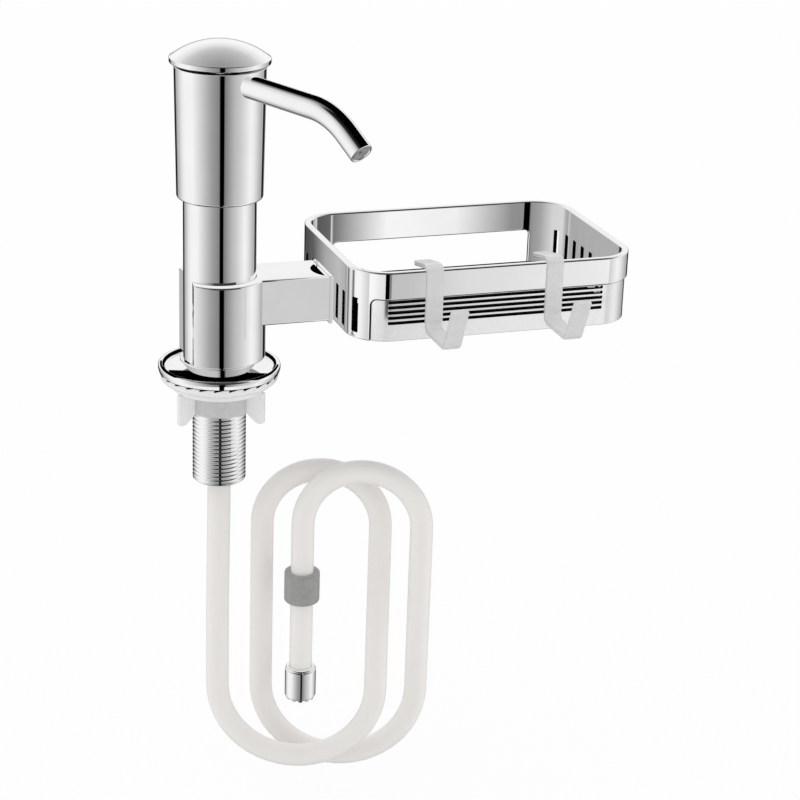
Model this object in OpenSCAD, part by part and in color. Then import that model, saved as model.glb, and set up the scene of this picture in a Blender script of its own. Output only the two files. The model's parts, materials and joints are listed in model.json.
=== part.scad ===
// Soap pump caddy: a deck-mounted soap pump with a clip-on basket, two hooks and a long feed hose.
// Millimetres, +Z up, origin on the barrel's axis at the deck, +X from the barrel to the basket.

/* [Deck flange] */
// Outer radius of the deck flange
flange_r = 26; // [25.5:0.1:30]
// Height of the flange's rim above the deck
flange_h = 3.4; // [3:0.1:5]
// Wall of the flange's skirt
skirt_wall = 0.7; // [0.6:0.1:1]
// Thickness of the flange's floor
flange_floor = 0.5; // [0.4:0.1:0.8]
// Thickness of the rubber gasket under the floor
gasket_t = 0.7; // [0.5:0.1:1.2]

/* [Barrel] */
// Outer radius of the barrel
barrel_r = 15.3; // [14.6:0.1:16]
// Wall of the barrel
barrel_wall = 1.3; // [1:0.1:1.6]
// Height of the barrel's top edge above the deck
barrel_top = 92; // [86:1:94]
// Radius of the foot's upper lip
foot_r = 16.8; // [16.4:0.1:18]
// Height of the foot's upper lip above the deck
foot_top = 6.2; // [5.8:0.1:6.4]

/* [Threaded shank] */
// Radius over the thread's crests
shank_r = 11.455; // [11:0.01:11.6]
// Pitch of the thread
thread_pitch = 1.814; // [1.4:0.01:2]
// Depth of the thread
thread_depth = 1.1; // [0.8:0.05:1.2]
// Bore of the shank, as a radius
shank_bore_r = 8.8; // [7:0.1:9.2]
// Length of the shank below the deck
shank_len = 49.4; // [47:0.2:60]

/* [Mounting nut] */
// Outer radius of the toothed lock ring
ring_r = 25; // [23:0.1:25]
// Height of the toothed lock ring
ring_h = 4.4; // [3.6:0.1:5]
// Number of teeth on the lock ring
teeth = 25; // [12:1:36]
// Depth of each tooth
tooth_depth = 1.3; // [0.6:0.1:2]
// Outer radius of the nut's flange
nut_flange_r = 20.4; // [18:0.1:22]
// Thickness of the nut's flange
nut_flange_h = 2.6; // [2:0.1:3.5]
// Outer radius of the nut's hub
nut_hub_r = 13.4; // [13:0.1:15]
// Height of the nut's hub below its flange
nut_hub_h = 9.9; // [8:0.1:12]
// Radius over the nut's wings
wing_r = 21.1; // [19:0.1:23]
// Thickness of each wing
wing_t = 2.5; // [2:0.1:4]
// How far a wing's outer end reaches below the hub
wing_drop = 4.1; // [2:0.1:6]

/* [Pump] */
// Bore of the pump cylinder, as a radius
pump_bore_r = 5; // [4.8:0.1:5.4]
// Length of the pump cylinder's bore
pump_len = 48; // [44:1:50]
// Wall of the pump cylinder
pump_wall = 1.5; // [1.2:0.1:2]
// Travel of the pump head
stroke = 18; // [10:1:18]
// Outer radius of the piston stem
stem_r = 3.6; // [3.4:0.1:4]
// Radius of the two check balls
ball_r = 2.2; // [2:0.1:2.3]
// Lift of the check balls
ball_lift = 1.5; // [1:0.1:1.6]
// Wire radius of the return spring
spring_wire_r = 0.45; // [0.3:0.05:0.5]
// Turns of the return spring
spring_turns = 9; // [6:1:12]

/* [Pump head] */
// Height of the head sleeve's lower edge above the deck
head_bottom = 76.1; // [74:0.1:82]
// Height of the head sleeve's top edge above the deck
head_top = 130.8; // [130.8:0.1:134]
// Radius of the head sleeve's lower end
head_r_low = 18; // [17.8:0.1:19]
// Radius of the head sleeve's upper end
head_r_high = 18.9; // [18.6:0.1:20]
// Bore of the head sleeve, as a radius
head_bore_r = 16.4; // [16.2:0.1:16.6]
// Radius of the cap's rim
cap_r = 20.8; // [20:0.1:23]
// Height of the cap's dome above its rim
dome_h = 6.9; // [4:0.1:9]

/* [Spout] */
// Outer radius of the spout tube
spout_r = 4.8; // [4:0.1:4.8]
// Wall of the spout tube
spout_wall = 0.9; // [0.7:0.1:1.2]
// Compass heading of the spout, from +X towards +Y
spout_heading = -64; // [-180:1:180]
// Droop of the spout's straight run
spout_droop = 2; // [0:0.5:4]
// Length from the axis to the bend
spout_straight = 56; // [40:1:70]
// Radius of the bend
spout_bend_r = 34.5; // [25:0.5:45]
// Angle of the bend
spout_bend = 34.5; // [20:0.5:60]
// Length past the bend
spout_end = 10.4; // [8:0.2:20]

/* [Caddy clip and arm] */
// Wall of the clip ring
clip_wall = 4; // [3:0.1:4.5]
// Height of the clip ring
clip_h = 35.6; // [30:0.1:40]
// Angle of the clip ring's open side
clip_open = 85; // [60:1:110]
// Slant of the clip ring's two ends, from square to the arm
clip_slant = 8; // [0:1:20]
// Running clearance between the clip ring and the barrel
clip_gap = 0.1; // [0.05:0.05:0.4]
// Width of the arm
arm_w = 24; // [22:0.5:26]
// Height of the arm
arm_h = 19.9; // [18:0.1:22]
// Wall of the hollow arm
arm_wall = 2; // [1.5:0.1:2.5]
// Thickness of the arm's end plate
plate_t = 1.5; // [1:0.1:2]
// How far the end plate stands out past the arm on each side
plate_lip = 1; // [0.5:0.1:1.5]
// Radius of the screws
screw_r = 2; // [1.5:0.1:2.2]
// Distance between the two screws
screw_spacing = 13; // [11:0.5:14]

/* [Basket] */
// Distance from the barrel's axis to the basket's near wall
basket_x = 46; // [42:0.5:60]
// Length of the basket
basket_l = 125.6; // [110:0.2:150]
// Width of the basket
basket_w = 92; // [86:0.5:104]
// Height of the basket
basket_h = 29.8; // [28:0.1:34]
// Height of the basket's rim above the deck
basket_top = 52.8; // [52:0.1:56]
// Wall of the basket
basket_wall = 3; // [2.6:0.1:3.4]
// Outer corner radius of the basket
basket_corner = 16.9; // [15:0.1:20]
// Height of the closed band along the front
band_h = 11.8; // [10:0.1:13]
// Height of the closed band above the back opening
back_band_h = 13.6; // [12:0.1:15]
// How far the front panel lies behind the band
panel_inset = 0.9; // [0.5:0.1:1.2]
// Pitch of the horizontal slots in the front panel
front_slot_pitch = 2.25; // [2:0.05:2.4]
// Height of each horizontal slot
front_slot_h = 1.2; // [0.8:0.05:1.4]
// Pitch of the upright slots in the sides
side_slot_pitch = 9; // [8:0.5:9.5]
// Width of each upright slot
side_slot_w = 3.4; // [2.5:0.1:4]
// Thickness of the floor
floor_t = 1.6; // [1.2:0.1:2]

/* [Hooks] */
// Width of each hook's strip
hook_w = 7.3; // [6:0.1:9]
// Thickness of each hook's strip
hook_t = 2.2; // [1.8:0.1:2.6]
// Distance from the barrel's axis to the first hook's middle
hook_first_x = 78.7; // [74:0.1:90]
// Distance between the two hooks' middles
hook_spacing = 53; // [40:0.5:58]
// Reach of each hook in front of its strap
hook_reach = 22.5; // [16:0.5:30]
// Height of each hook's prong
prong_h = 18; // [12:0.5:24]

/* [Feed hose] */
// Outer radius of the hose
hose_r = 5; // [4.5:0.1:5.4]
// Bore of the hose, as a radius
hose_bore_r = 3.4; // [3:0.1:3.6]
// Span of the hose's first loop
loop_span = 70.5; // [66:0.5:80]
// Sideways step from one loop to the next
loop_pitch = 18.5; // [16:0.5:20]
// Depth between the crossing stretches, on each side of the middle
loop_depth = 6; // [5.6:0.1:8]
// Number of loops
loops = 2; // [1:1:2]
// Outer radius of the grey stop sleeve on the hose
stop_r = 7.75; // [7:0.05:9]
// Length of the grey stop sleeve
stop_len = 14; // [12:0.1:20]
// Outer radius of the foot valve
valve_r = 6.9; // [6.6:0.1:8]
// Length of the foot valve's body
valve_len = 14.2; // [14:0.1:20]

/* [Hidden] */
$fn = 64;
eps = 0.01;
fixed_gap = 0.05;
run_gap = 0.1;
soft_gap = 0.3;

// Levels of the deck fixings
gasket_low = 0.1;
floor_under = gasket_low + gasket_t;
floor_top = floor_under + flange_floor;
foot_low_r = foot_r - 1.4;
foot_bore_r = shank_r + fixed_gap;
spigot_h = 6;
collar_r = shank_r + 1.2;
collar_low = 4.4;
collar_h = 2.4;
barrel_bore_r = barrel_r - barrel_wall;
thread_end = 2.6;
thread_root_r = shank_r - thread_depth;
thread_count = floor((shank_len - thread_end - 1) / thread_pitch);

// Levels of the mounting nut
ring_top = -0.3;
ring_low = ring_top - ring_h;
tooth_band = 2.6;
tooth_slope = ring_r * 3.9 / teeth;
nut_top = ring_low - 0.15;
nut_bore_r = shank_r + 0.15;
hub_low = nut_top - nut_flange_h - nut_hub_h;
nose_turn = -109.3;
wing_turn = nose_turn + 70;

// Levels of the pump
pump_low = barrel_top - pump_len - 6;
bore_low = barrel_top - pump_len;
pump_flange_h = 2.5;
pump_flange_r = barrel_r - 0.1;
bush_top = barrel_top + pump_flange_h + 2;
bush_low = barrel_top - 6;
piston_h = 6;
piston_top = bush_low - run_gap;
piston_low = piston_top - piston_h;
cage_h = 2;
chamber_r = ball_r + 0.7;
seat_r = ball_r - 0.7;
ball_seat_rise = sqrt(ball_r * ball_r - seat_r * seat_r) + 0.2;
stem_bore_r = 1.6;
socket_h = 6;
inlet_h = 4;
barb_len = 20;
barb_r = hose_bore_r - fixed_gap;
riser_low = -37;
spring_r = pump_bore_r - spring_wire_r - 0.45;

// Levels and shapes of the pump head
cap_rise = 1.7;
cap_band = 2.1;
cap_top_edge = head_top + cap_rise + cap_band;
dome_edge_r = cap_r - 0.4;
dome_r = (dome_edge_r * dome_edge_r + dome_h * dome_h) / (2 * dome_h);
spout_z = head_top - spout_r + 0.2;
spout_from = 3;
core_r = 9;
core_web_h = 2.5;
core_top = head_top - 0.6;
core_h = 15.2;
core_low = max(core_top - core_h, bush_top + stroke + 0.5);
nozzle_len = 9;
plug_h = 6.5;

// Clip ring, arm and basket
clip_bore_r = barrel_r + clip_gap;
clip_r = clip_bore_r + clip_wall;
clip_low = foot_top + 0.5;
clip_top = clip_low + clip_h;
arm_top = clip_top - 0.1;
arm_low = arm_top - arm_h;
arm_end = basket_x - plate_t;
arm_head = 4;
recess_r = 12.9;
recess_depth = 5;
recess_x = arm_end + 10.5;
screw_z = arm_low + 8;
basket_low = basket_top - basket_h;
band_low = basket_top - band_h;
window_top = basket_top - back_band_h;
basket_mid_x = basket_x + basket_l / 2;
front_y = -basket_w / 2;
panel_wall = basket_wall - panel_inset;
panel_x = basket_x + 6.7;
window_past = 2.4;
panel_end_y = -14;
window_round = 2.5;
slot_low = basket_low + floor_t + 1.2;
slot_top = band_low - 0.5;
corner_slot_angle = 27;
front_slots = 5;
front_slot_x = basket_x + 13.6;
front_slot_l = basket_l - 30.2;
floor_slots = 11;
floor_slot_w = 3.8;
floor_margin_x = 12;
floor_slot_y = 2;
floor_margin_y = 13;

// Hooks
hook_gap = 0.2;
strap_y = front_y - soft_gap - hook_t / 2;
hook_low = basket_low + 4.5;
hook_bend = 2.4;
lip_reach = 12;
lip_drop = 2.3;
prong_lean = 8;

// Feed hose: a flat pair of loops below the shank, in the upright plane that faces the front left
hose_turn = -19.28;
hose_first_low = -182;
hose_low_step = -5;
hose_first_high = -47;
hose_high_step = 4.7;
last_left = loops * loop_pitch;
tail_end = -141.7;
stop_z = -104.2;
valve_top = tail_end + 5;
valve_low = valve_top - valve_len;
crown_h = 1.1;
hose_sides = 10;
coil_sides = 6;
arc_steps = 10;
run_steps = 3;

chrome = [0.86, 0.87, 0.88];
white = [0.93, 0.93, 0.92];
frosted = [0.9, 0.92, 0.92];
natural = [0.9, 0.89, 0.85];
grey = [0.62, 0.62, 0.61];
black = [0.12, 0.12, 0.12];
steel = [0.72, 0.73, 0.75];

// A plain ring between two radii, from one level to another
module ring(outer, inner, low, high) {
    translate([0, 0, low]) difference() {
        cylinder(r = outer, h = high - low);
        translate([0, 0, -1]) cylinder(r = inner, h = high - low + 2);
    }
}

// A rectangle with round corners, around a middle
module round_rect(l, w, r) {
    square([l - 2 * r, w], center = true);
    square([l, w - 2 * r], center = true);
    for (x = [-1, 1], y = [-1, 1])
        translate([x * (l / 2 - r), y * (w / 2 - r)]) circle(r);
}

// The basket's outline, drawn in by an inset
module basket_outline(inset) {
    translate([basket_mid_x, 0])
        round_rect(basket_l - 2 * inset, basket_w - 2 * inset, basket_corner - inset);
}

// A rectangle in the XZ plane with its upper corners round, through the whole of Y
module upright_window(x0, x1, z0, z1, y0, y1) {
    r = window_round;
    translate([0, y1, 0]) rotate([90, 0, 0]) linear_extrude(y1 - y0) {
        translate([x0, z0]) square([x1 - x0, z1 - z0 - r]);
        translate([x0 + r, z0]) square([x1 - x0 - 2 * r, z1 - z0]);
        for (x = [x0 + r, x1 - r]) translate([x, z1 - r]) circle(r, $fn = 32);
    }
}

module deck_flange() color(chrome) rotate_extrude() polygon(concat(
    [[shank_r + 0.15, floor_under], [flange_r - skirt_wall, floor_under],
        [flange_r - skirt_wall, 0], [flange_r, 0], [flange_r, flange_h - 0.5],
        [flange_r - 0.15, flange_h - 0.15], [flange_r - 0.5, flange_h]],
    [for (a = [90:15:180]) let (w = 2.4, h = flange_h - floor_top)
        [flange_r - 1.1 - w + w * sin(a), floor_top + h + h * cos(a)]],
    [[shank_r + 0.15, floor_top]]));

module flange_gasket()
    color(black) ring(flange_r - skirt_wall - 0.5, shank_r + 2, gasket_low, floor_under);

// A bowl that carries the barrel on its lip, with a spigot up inside it
module barrel_foot() color(chrome) difference() {
    union() {
        rotate_extrude() polygon(concat(
            [[0, floor_top]],
            [for (a = [0:15:90]) [foot_low_r + (foot_r - 0.3 - foot_low_r) * sin(a),
                floor_top + (foot_top - 0.9 - floor_top) * (1 - cos(a))]],
            [[foot_r, foot_top - 0.7], [foot_r, foot_top - 0.2], [foot_r - 0.2, foot_top],
                [0, foot_top]]));
        translate([0, 0, foot_top - eps])
            cylinder(r = barrel_bore_r - fixed_gap, h = spigot_h + eps);
    }
    translate([0, 0, -1]) cylinder(r = foot_bore_r, h = 40);
    translate([0, 0, collar_low]) cylinder(r = collar_r + fixed_gap, h = 40);
}

module barrel() color(chrome) ring(barrel_r, barrel_bore_r, foot_top, barrel_top);

module threaded_shank() color(chrome) rotate_extrude() polygon(concat(
    [[shank_bore_r, -shank_len], [thread_root_r, -shank_len],
        [shank_r - 0.5, -shank_len + 0.5], [shank_r - 0.3, -shank_len + thread_end - 0.6]],
    [for (i = [0:thread_count - 1], k = [0:3])
        let (z = -shank_len + thread_end + i * thread_pitch)
        [[thread_root_r, shank_r, shank_r, thread_root_r][k],
            z + thread_pitch * [0.06, 0.42, 0.58, 0.94][k]]],
    [[shank_r, -0.7], [shank_r, collar_low], [collar_r, collar_low],
        [collar_r, collar_low + collar_h], [shank_bore_r, collar_low + collar_h]]));

// A ring with saw teeth on its upper rim that bite into the deck's underside
module lock_ring() color(white) difference() {
    rotate_extrude() polygon([[nut_bore_r + 0.4, ring_low], [nut_flange_r + 1.2, ring_low],
        [ring_r - 1.3, ring_low + 0.5], [ring_r - 0.3, ring_low + 1.5], [ring_r, ring_low + 2.4],
        [ring_r, ring_top], [ring_r - tooth_band, ring_top],
        [ring_r - tooth_band, ring_top - tooth_depth - 0.4],
        [nut_bore_r + 0.4, ring_top - tooth_depth - 0.4]]);
    for (i = [0:teeth - 1]) rotate([0, 0, nose_turn + i * 360 / teeth])
        translate([ring_r + 1, 0, ring_top]) rotate([90, 0, -90]) linear_extrude(5)
            polygon([[0, 1], [0, -tooth_depth], [-tooth_slope, 0], [-tooth_slope, 1]]);
}

module wing_nut() color(white) difference() {
    union() {
        rotate_extrude() polygon([[0, hub_low], [nut_hub_r - 0.3, hub_low],
            [nut_hub_r, hub_low + 0.4], [nut_hub_r, nut_top - nut_flange_h],
            [nut_flange_r - 1.4, nut_top - nut_flange_h],
            [nut_flange_r - 0.4, nut_top - nut_flange_h + 0.4],
            [nut_flange_r, nut_top - nut_flange_h + 1.4], [nut_flange_r, nut_top], [0, nut_top]]);
        for (i = [0:2]) rotate([0, 0, wing_turn + i * 120])
            translate([0, wing_t / 2, 0]) rotate([90, 0, 0]) linear_extrude(wing_t)
                polygon([[nut_hub_r - 1, nut_top - 1], [nut_flange_r - 1, nut_top - 1],
                    [wing_r, nut_top - nut_flange_h], [wing_r, hub_low - wing_drop + 1.6],
                    [wing_r - 0.5, hub_low - wing_drop + 0.4],
                    [wing_r - 1.6, hub_low - wing_drop], [wing_r - 2.8, hub_low - wing_drop + 0.3],
                    [nut_hub_r - 1, hub_low + 0.4]]);
    }
    translate([0, 0, hub_low - 9]) cylinder(r = nut_bore_r, h = 40);
}

module pump_cylinder() color(white) difference() {
    union() {
        translate([0, 0, pump_low])
            cylinder(r = pump_bore_r + pump_wall, h = barrel_top - pump_low + 1);
        translate([0, 0, barrel_top]) cylinder(r = pump_flange_r, h = pump_flange_h);
    }
    translate([0, 0, bore_low]) cylinder(r = pump_bore_r, h = pump_len + 9);
    translate([0, 0, pump_low - 1]) cylinder(r = chamber_r, h = 9);
}

module guide_bush() color(natural) difference() {
    union() {
        translate([0, 0, bush_low])
            cylinder(r = pump_bore_r - fixed_gap, h = bush_top - bush_low - 1);
        translate([0, 0, barrel_top + pump_flange_h])
            cylinder(r = pump_bore_r + 3, h = bush_top - barrel_top - pump_flange_h);
    }
    translate([0, 0, bush_low - 1]) cylinder(r = stem_r + run_gap, h = 40);
}

// The lower seat with its hose barb
module inlet_fitting() color(natural) difference() {
    rotate_extrude() polygon(concat(
        [[0, pump_low - inlet_h - barb_len]],
        [for (i = [0:3], k = [0:1]) [barb_r - 0.35 * (1 - k),
            pump_low - inlet_h - barb_len + i * barb_len / 4 + k * barb_len / 5]],
        [[barb_r - 0.35, pump_low - inlet_h], [pump_bore_r + pump_wall, pump_low - inlet_h],
            [pump_bore_r + pump_wall, pump_low], [0, pump_low]]));
    translate([0, 0, pump_low - 60]) cylinder(r = seat_r, h = 90);
}

module ball(r, z, x = 0, y = 0) translate([x, y, z]) sphere(r, $fn = 48);

module inlet_ball() color(steel) ball(ball_r, pump_low + ball_seat_rise);

module ball_cage() color(natural) difference() {
    translate([0, 0, bore_low]) cylinder(r = pump_bore_r - fixed_gap, h = cage_h);
    translate([0, 0, bore_low - 1]) cylinder(r = 1.2, h = cage_h + 2);
    for (a = [0:90:270]) rotate([0, 0, a])
        translate([2.9, 0, bore_low - 1]) cylinder(r = 0.7, h = cage_h + 2, $fn = 24);
}

function unit(v) = v / norm(v);

// Directions along a route: straight at its ends, from its neighbours between them
function heading(route, i) = i == 0 ? unit(route[1] - route[0])
    : i == len(route) - 1 ? unit(route[i] - route[i - 1])
    : unit(unit(route[i + 1] - route[i]) + unit(route[i] - route[i - 1]));

// One tube along a route: a ring of points square to the route at each of its points
module tube(route, r, sides, side_hint) {
    rings = [for (i = [0:len(route) - 1])
        let (t = heading(route, i), b = unit(side_hint - t * (side_hint * t)), n = cross(b, t))
        for (k = [0:sides - 1]) route[i] + r * (cos(k * 360 / sides) * n + sin(k * 360 / sides) * b)];
    last = len(route) - 1;
    polyhedron(rings, concat(
        [for (k = [1:sides - 2]) [0, k + 1, k]],
        [for (k = [1:sides - 2]) [last * sides, last * sides + k, last * sides + k + 1]],
        [for (i = [0:last - 1], k = [0:sides - 1]) let (m = (k + 1) % sides)
            each [[i * sides + k, i * sides + m, (i + 1) * sides + m],
                [i * sides + k, (i + 1) * sides + m, (i + 1) * sides + k]]]));
}

spring_low = bore_low + cage_h + spring_wire_r + 0.02;
spring_high = piston_low - spring_wire_r - 0.02;
spring_route = [for (i = [0:spring_turns * 8]) let (a = i * 45)
    [spring_r * cos(a), spring_r * sin(a), spring_low
        + (spring_high - spring_low) * i / (spring_turns * 8)]];

module return_spring() color(steel) tube(spring_route, spring_wire_r, 6, [0, 0, 1]);

module piston_stem() color(natural) difference() {
    translate([0, 0, piston_low + 2])
        cylinder(r = stem_r, h = core_low + socket_h - piston_low - 2);
    translate([0, 0, piston_low + 1]) cylinder(r = stem_bore_r, h = 200);
    translate([0, 0, piston_low + 1])
        cylinder(r = ball_r + 0.4, h = 1 + ball_seat_rise + ball_r + ball_lift + 0.3);
}

module piston_seal() color(black) difference() {
    translate([0, 0, piston_low]) cylinder(r = pump_bore_r - fixed_gap, h = piston_h);
    translate([0, 0, piston_low - 1]) cylinder(r = seat_r, h = 40);
    translate([0, 0, piston_low + 2]) cylinder(r = stem_r + fixed_gap, h = 40);
}

module outlet_ball() color(steel) ball(ball_r, piston_low + 2 + ball_seat_rise);

// Places what follows along the spout's straight run, with +X along the run
module at_spout() {
    rotate([0, 0, spout_heading]) translate([0, 0, spout_z]) rotate([0, spout_droop, 0]) children();
}

// Places what follows at the end of the bend, with +X along the last run
module past_bend() {
    translate([spout_straight, 0, -spout_bend_r]) rotate([0, spout_bend, 0])
        translate([0, 0, spout_bend_r]) children();
}

// The spout's line as a rod; the bend runs a little into both straight runs and is a hair thicker
module spout_rod(r, from, extra) at_spout() {
    lap = 0.3;
    translate([from, 0, 0]) rotate([0, 90, 0]) cylinder(r = r, h = spout_straight - from);
    translate([spout_straight, 0, -spout_bend_r]) rotate([-90, 0, 0]) rotate([0, 0, -90 - lap])
        rotate_extrude(angle = spout_bend + 2 * lap) translate([spout_bend_r, 0]) circle(r + 0.02);
    past_bend() rotate([0, 90, 0]) cylinder(r = r, h = spout_end + extra);
}

module spout_tube() color(chrome) difference() {
    spout_rod(spout_r, spout_from, 0);
    spout_rod(spout_r - spout_wall, spout_from - 1, 1);
}

// A stepped insert that fills the spout's mouth
module spout_nozzle() color(grey) at_spout() past_bend() rotate([0, 90, 0])
    translate([0, 0, spout_end - nozzle_len]) rotate_extrude()
        let (r = spout_r - spout_wall - fixed_gap, h = nozzle_len - 0.4)
        polygon([[1, 0], [r, 0], [r, h], [r - 0.7, h], [r - 0.7, h - 0.4], [r - 1.3, h - 0.4],
            [r - 1.3, h - 0.1], [r - 1.9, h - 0.1], [r - 1.9, h - 0.6], [1, h - 0.6]]);

// The block inside the head that takes the stem below and the spout at the side
module head_core() color(white) difference() {
    union() {
        translate([0, 0, core_low]) cylinder(r = core_r, h = core_top - core_low);
        translate([0, 0, core_low]) cylinder(r = head_bore_r - fixed_gap, h = core_web_h);
    }
    translate([0, 0, core_low - 1]) cylinder(r = stem_r + fixed_gap, h = socket_h + 1);
    translate([0, 0, core_low]) cylinder(r = stem_bore_r, h = spout_z - core_low);
    at_spout() translate([spout_from, 0, 0]) rotate([0, 90, 0])
        cylinder(r = spout_r + fixed_gap, h = 20);
    at_spout() translate([-1, 0, 0]) rotate([0, 90, 0]) cylinder(r = stem_bore_r + 1, h = 20);
}

module head_sleeve() color(chrome) difference() {
    rotate_extrude() polygon(concat(
        [[head_bore_r, head_bottom]],
        [for (a = [0:15:90]) let (r = min(1.4, head_r_low - head_bore_r - 0.1))
            [head_r_low - r + r * sin(a), head_bottom + 1.8 * r * (1 - cos(a))]],
        [[head_r_high, head_top], [head_bore_r, head_top]]));
    at_spout() rotate([0, 90, 0]) cylinder(r = spout_r + fixed_gap, h = 40);
}

module head_cap() color(chrome) difference() {
    union() {
        rotate_extrude() polygon(concat(
            [[0, head_top], [head_r_high - 0.2, head_top], [cap_r - 0.5, head_top + cap_rise - 0.5],
                [cap_r, head_top + cap_rise], [cap_r, cap_top_edge - 0.3]],
            [for (i = [0:12]) let (r = dome_edge_r * (1 - i / 12))
                [r, cap_top_edge + sqrt(dome_r * dome_r - r * r) - dome_r + dome_h]]));
        ring(head_bore_r - fixed_gap, head_bore_r - 1.8, head_top - plug_h, head_top + eps);
    }
    translate([0, 0, head_top - 9]) cylinder(r = head_bore_r - 3, h = 9 + cap_rise);
    at_spout() translate([4, -spout_r - 0.6, -2 * plug_h])
        cube([30, 2 * spout_r + 1.2, 2 * plug_h + spout_r - 0.1]);
}

// Opens the clip ring on its -X side, with slanted ends that thin towards the mouth
module clip_mouth() let (x = clip_r * cos(clip_open / 2), y = clip_r * sin(clip_open / 2), far = 3 * clip_r)
    linear_extrude(200, center = true) polygon([[-x + y * tan(clip_slant), 0],
        [-x - (far - y) * tan(clip_slant), -far], [-2 * far, -far], [-2 * far, far],
        [-x - (far - y) * tan(clip_slant), far]]);

module clip_ring() color(chrome) difference() {
    rotate_extrude() polygon([[clip_bore_r, clip_low + 0.5], [clip_bore_r + 0.5, clip_low],
        [clip_r - 0.9, clip_low], [clip_r, clip_low + 0.9], [clip_r, clip_top - 0.6],
        [clip_r - 0.6, clip_top], [clip_bore_r + 0.3, clip_top], [clip_bore_r, clip_top - 0.3]]);
    clip_mouth();
}

// Places a screw's axis along +X, at each of the two screw places
module at_screws() for (y = [-1, 1])
    translate([0, y * screw_spacing / 2, screw_z]) rotate([0, 90, 0]) children();

// A hollow box, coped to the clip ring and closed by a thick end for the screws
module caddy_arm() color(chrome) difference() {
    translate([0, -arm_w / 2, arm_low]) cube([arm_end, arm_w, arm_h]);
    cylinder(r = clip_r + fixed_gap, h = 90);
    translate([-1, -arm_w / 2 + arm_wall, arm_low + arm_wall])
        cube([arm_end - arm_head + 1, arm_w - 2 * arm_wall, arm_h - 2 * arm_wall]);
    translate([recess_x, 0, arm_top - recess_depth]) cylinder(r = recess_r, h = recess_depth + 1);
    at_screws() translate([0, 0, arm_end - arm_head - 1]) cylinder(r = screw_r + fixed_gap, h = 9);
}

module arm_plate() color(chrome) difference() {
    translate([arm_end, -arm_w / 2 - plate_lip, arm_low - plate_lip])
        cube([plate_t, arm_w + 2 * plate_lip, arm_h + plate_lip]);
    at_screws() cylinder(r = screw_r + run_gap, h = 90);
}

module arm_screws() color(steel) at_screws() difference() {
    union() {
        translate([0, 0, arm_end - arm_head + 0.5])
            cylinder(r = screw_r, h = basket_x + basket_wall - arm_end + arm_head - 0.5 + eps);
        translate([0, 0, basket_x + basket_wall]) cylinder(r1 = screw_r + 1.6, r2 = screw_r + 0.9, h = 1.6);
    }
    translate([-2.2, -0.4, basket_x + basket_wall + 0.8]) cube([4.4, 0.8, 2]);
    translate([-0.4, -2.2, basket_x + basket_wall + 0.8]) cube([0.8, 4.4, 2]);
}

// The place in the frame that the front panel fills
module panel_window() {
    upright_window(panel_x, basket_x + basket_l + 40, basket_low - 9, band_low,
        front_y - 9, panel_end_y);
}

module side_slots() {
    for (i = [-3:3], side = [0, 1]) let (y = i * side_slot_pitch)
        if (side == 1 || abs(y) > arm_w / 2 + plate_lip + side_slot_w / 2)
            translate([side == 0 ? basket_x - 5 : basket_x + basket_l - 8,
                y - side_slot_w / 2, slot_low]) cube([13, side_slot_w, slot_top - slot_low]);
    for (x = [-1, 1], y = [-1, 1])
        translate([basket_mid_x + x * (basket_l / 2 - basket_corner),
            y * (basket_w / 2 - basket_corner), slot_low])
            rotate([0, 0, x > 0 ? y * corner_slot_angle : 180 - y * corner_slot_angle])
                translate([basket_corner - 8, -side_slot_w / 2, 0])
                    cube([13, side_slot_w, slot_top - slot_low]);
}

module basket_frame() color(chrome) difference() {
    translate([0, 0, basket_low]) linear_extrude(basket_h) difference() {
        basket_outline(0);
        basket_outline(basket_wall);
    }
    panel_window();
    upright_window(basket_x + basket_corner, basket_x + basket_l - basket_corner + window_past,
        basket_low - 9, window_top, basket_w / 2 - 9, basket_w / 2 + 9);
    side_slots();
    at_screws() cylinder(r = screw_r + run_gap, h = 90);
}

module front_panel() color(chrome) difference() {
    intersection() {
        translate([0, 0, basket_low]) linear_extrude(band_low - basket_low) difference() {
            basket_outline(panel_inset);
            basket_outline(basket_wall);
        }
        panel_window();
    }
    for (i = [0:front_slots - 1])
        translate([front_slot_x, front_y - 9, slot_top - front_slot_h - i * front_slot_pitch])
            cube([front_slot_l, 18, front_slot_h]);
    intersection() {
        side_slots();
        translate([basket_x + basket_l - basket_corner, -99, 0]) cube([99, 199, 99]);
    }
}

// A flat dark floor just inside the walls, with its drain slots in the back half
module basket_floor() color(black) translate([0, 0, basket_low]) linear_extrude(floor_t)
    difference() {
        basket_outline(basket_wall + fixed_gap);
        for (i = [0:floor_slots - 1]) let (pitch = (basket_l - 2 * floor_margin_x) / floor_slots)
            translate([basket_x + floor_margin_x + (i + 0.5) * pitch - floor_slot_w / 2, floor_slot_y])
                square([floor_slot_w, basket_w / 2 - floor_margin_y - floor_slot_y]);
    }

// A band of one thickness along a list of points, as an outline
function band(points, t) = let (n = len(points), out = [for (i = [0:n - 1])
        let (d = heading(points, i),
            turn = i == 0 || i == n - 1 ? 1 : 1 / (d * unit(points[i] - points[i - 1])))
        [-d[1], d[0]] * turn * t / 2])
    concat([for (i = [0:n - 1]) points[i] + out[i]], [for (i = [n - 1:-1:0]) points[i] - out[i]]);

// A quarter-like bend between two directions, as points
function bend(c, r, a0, a1, steps) =
    [for (i = [0:steps]) let (a = a0 + (a1 - a0) * i / steps) c + r * [cos(a), sin(a)]];

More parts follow.
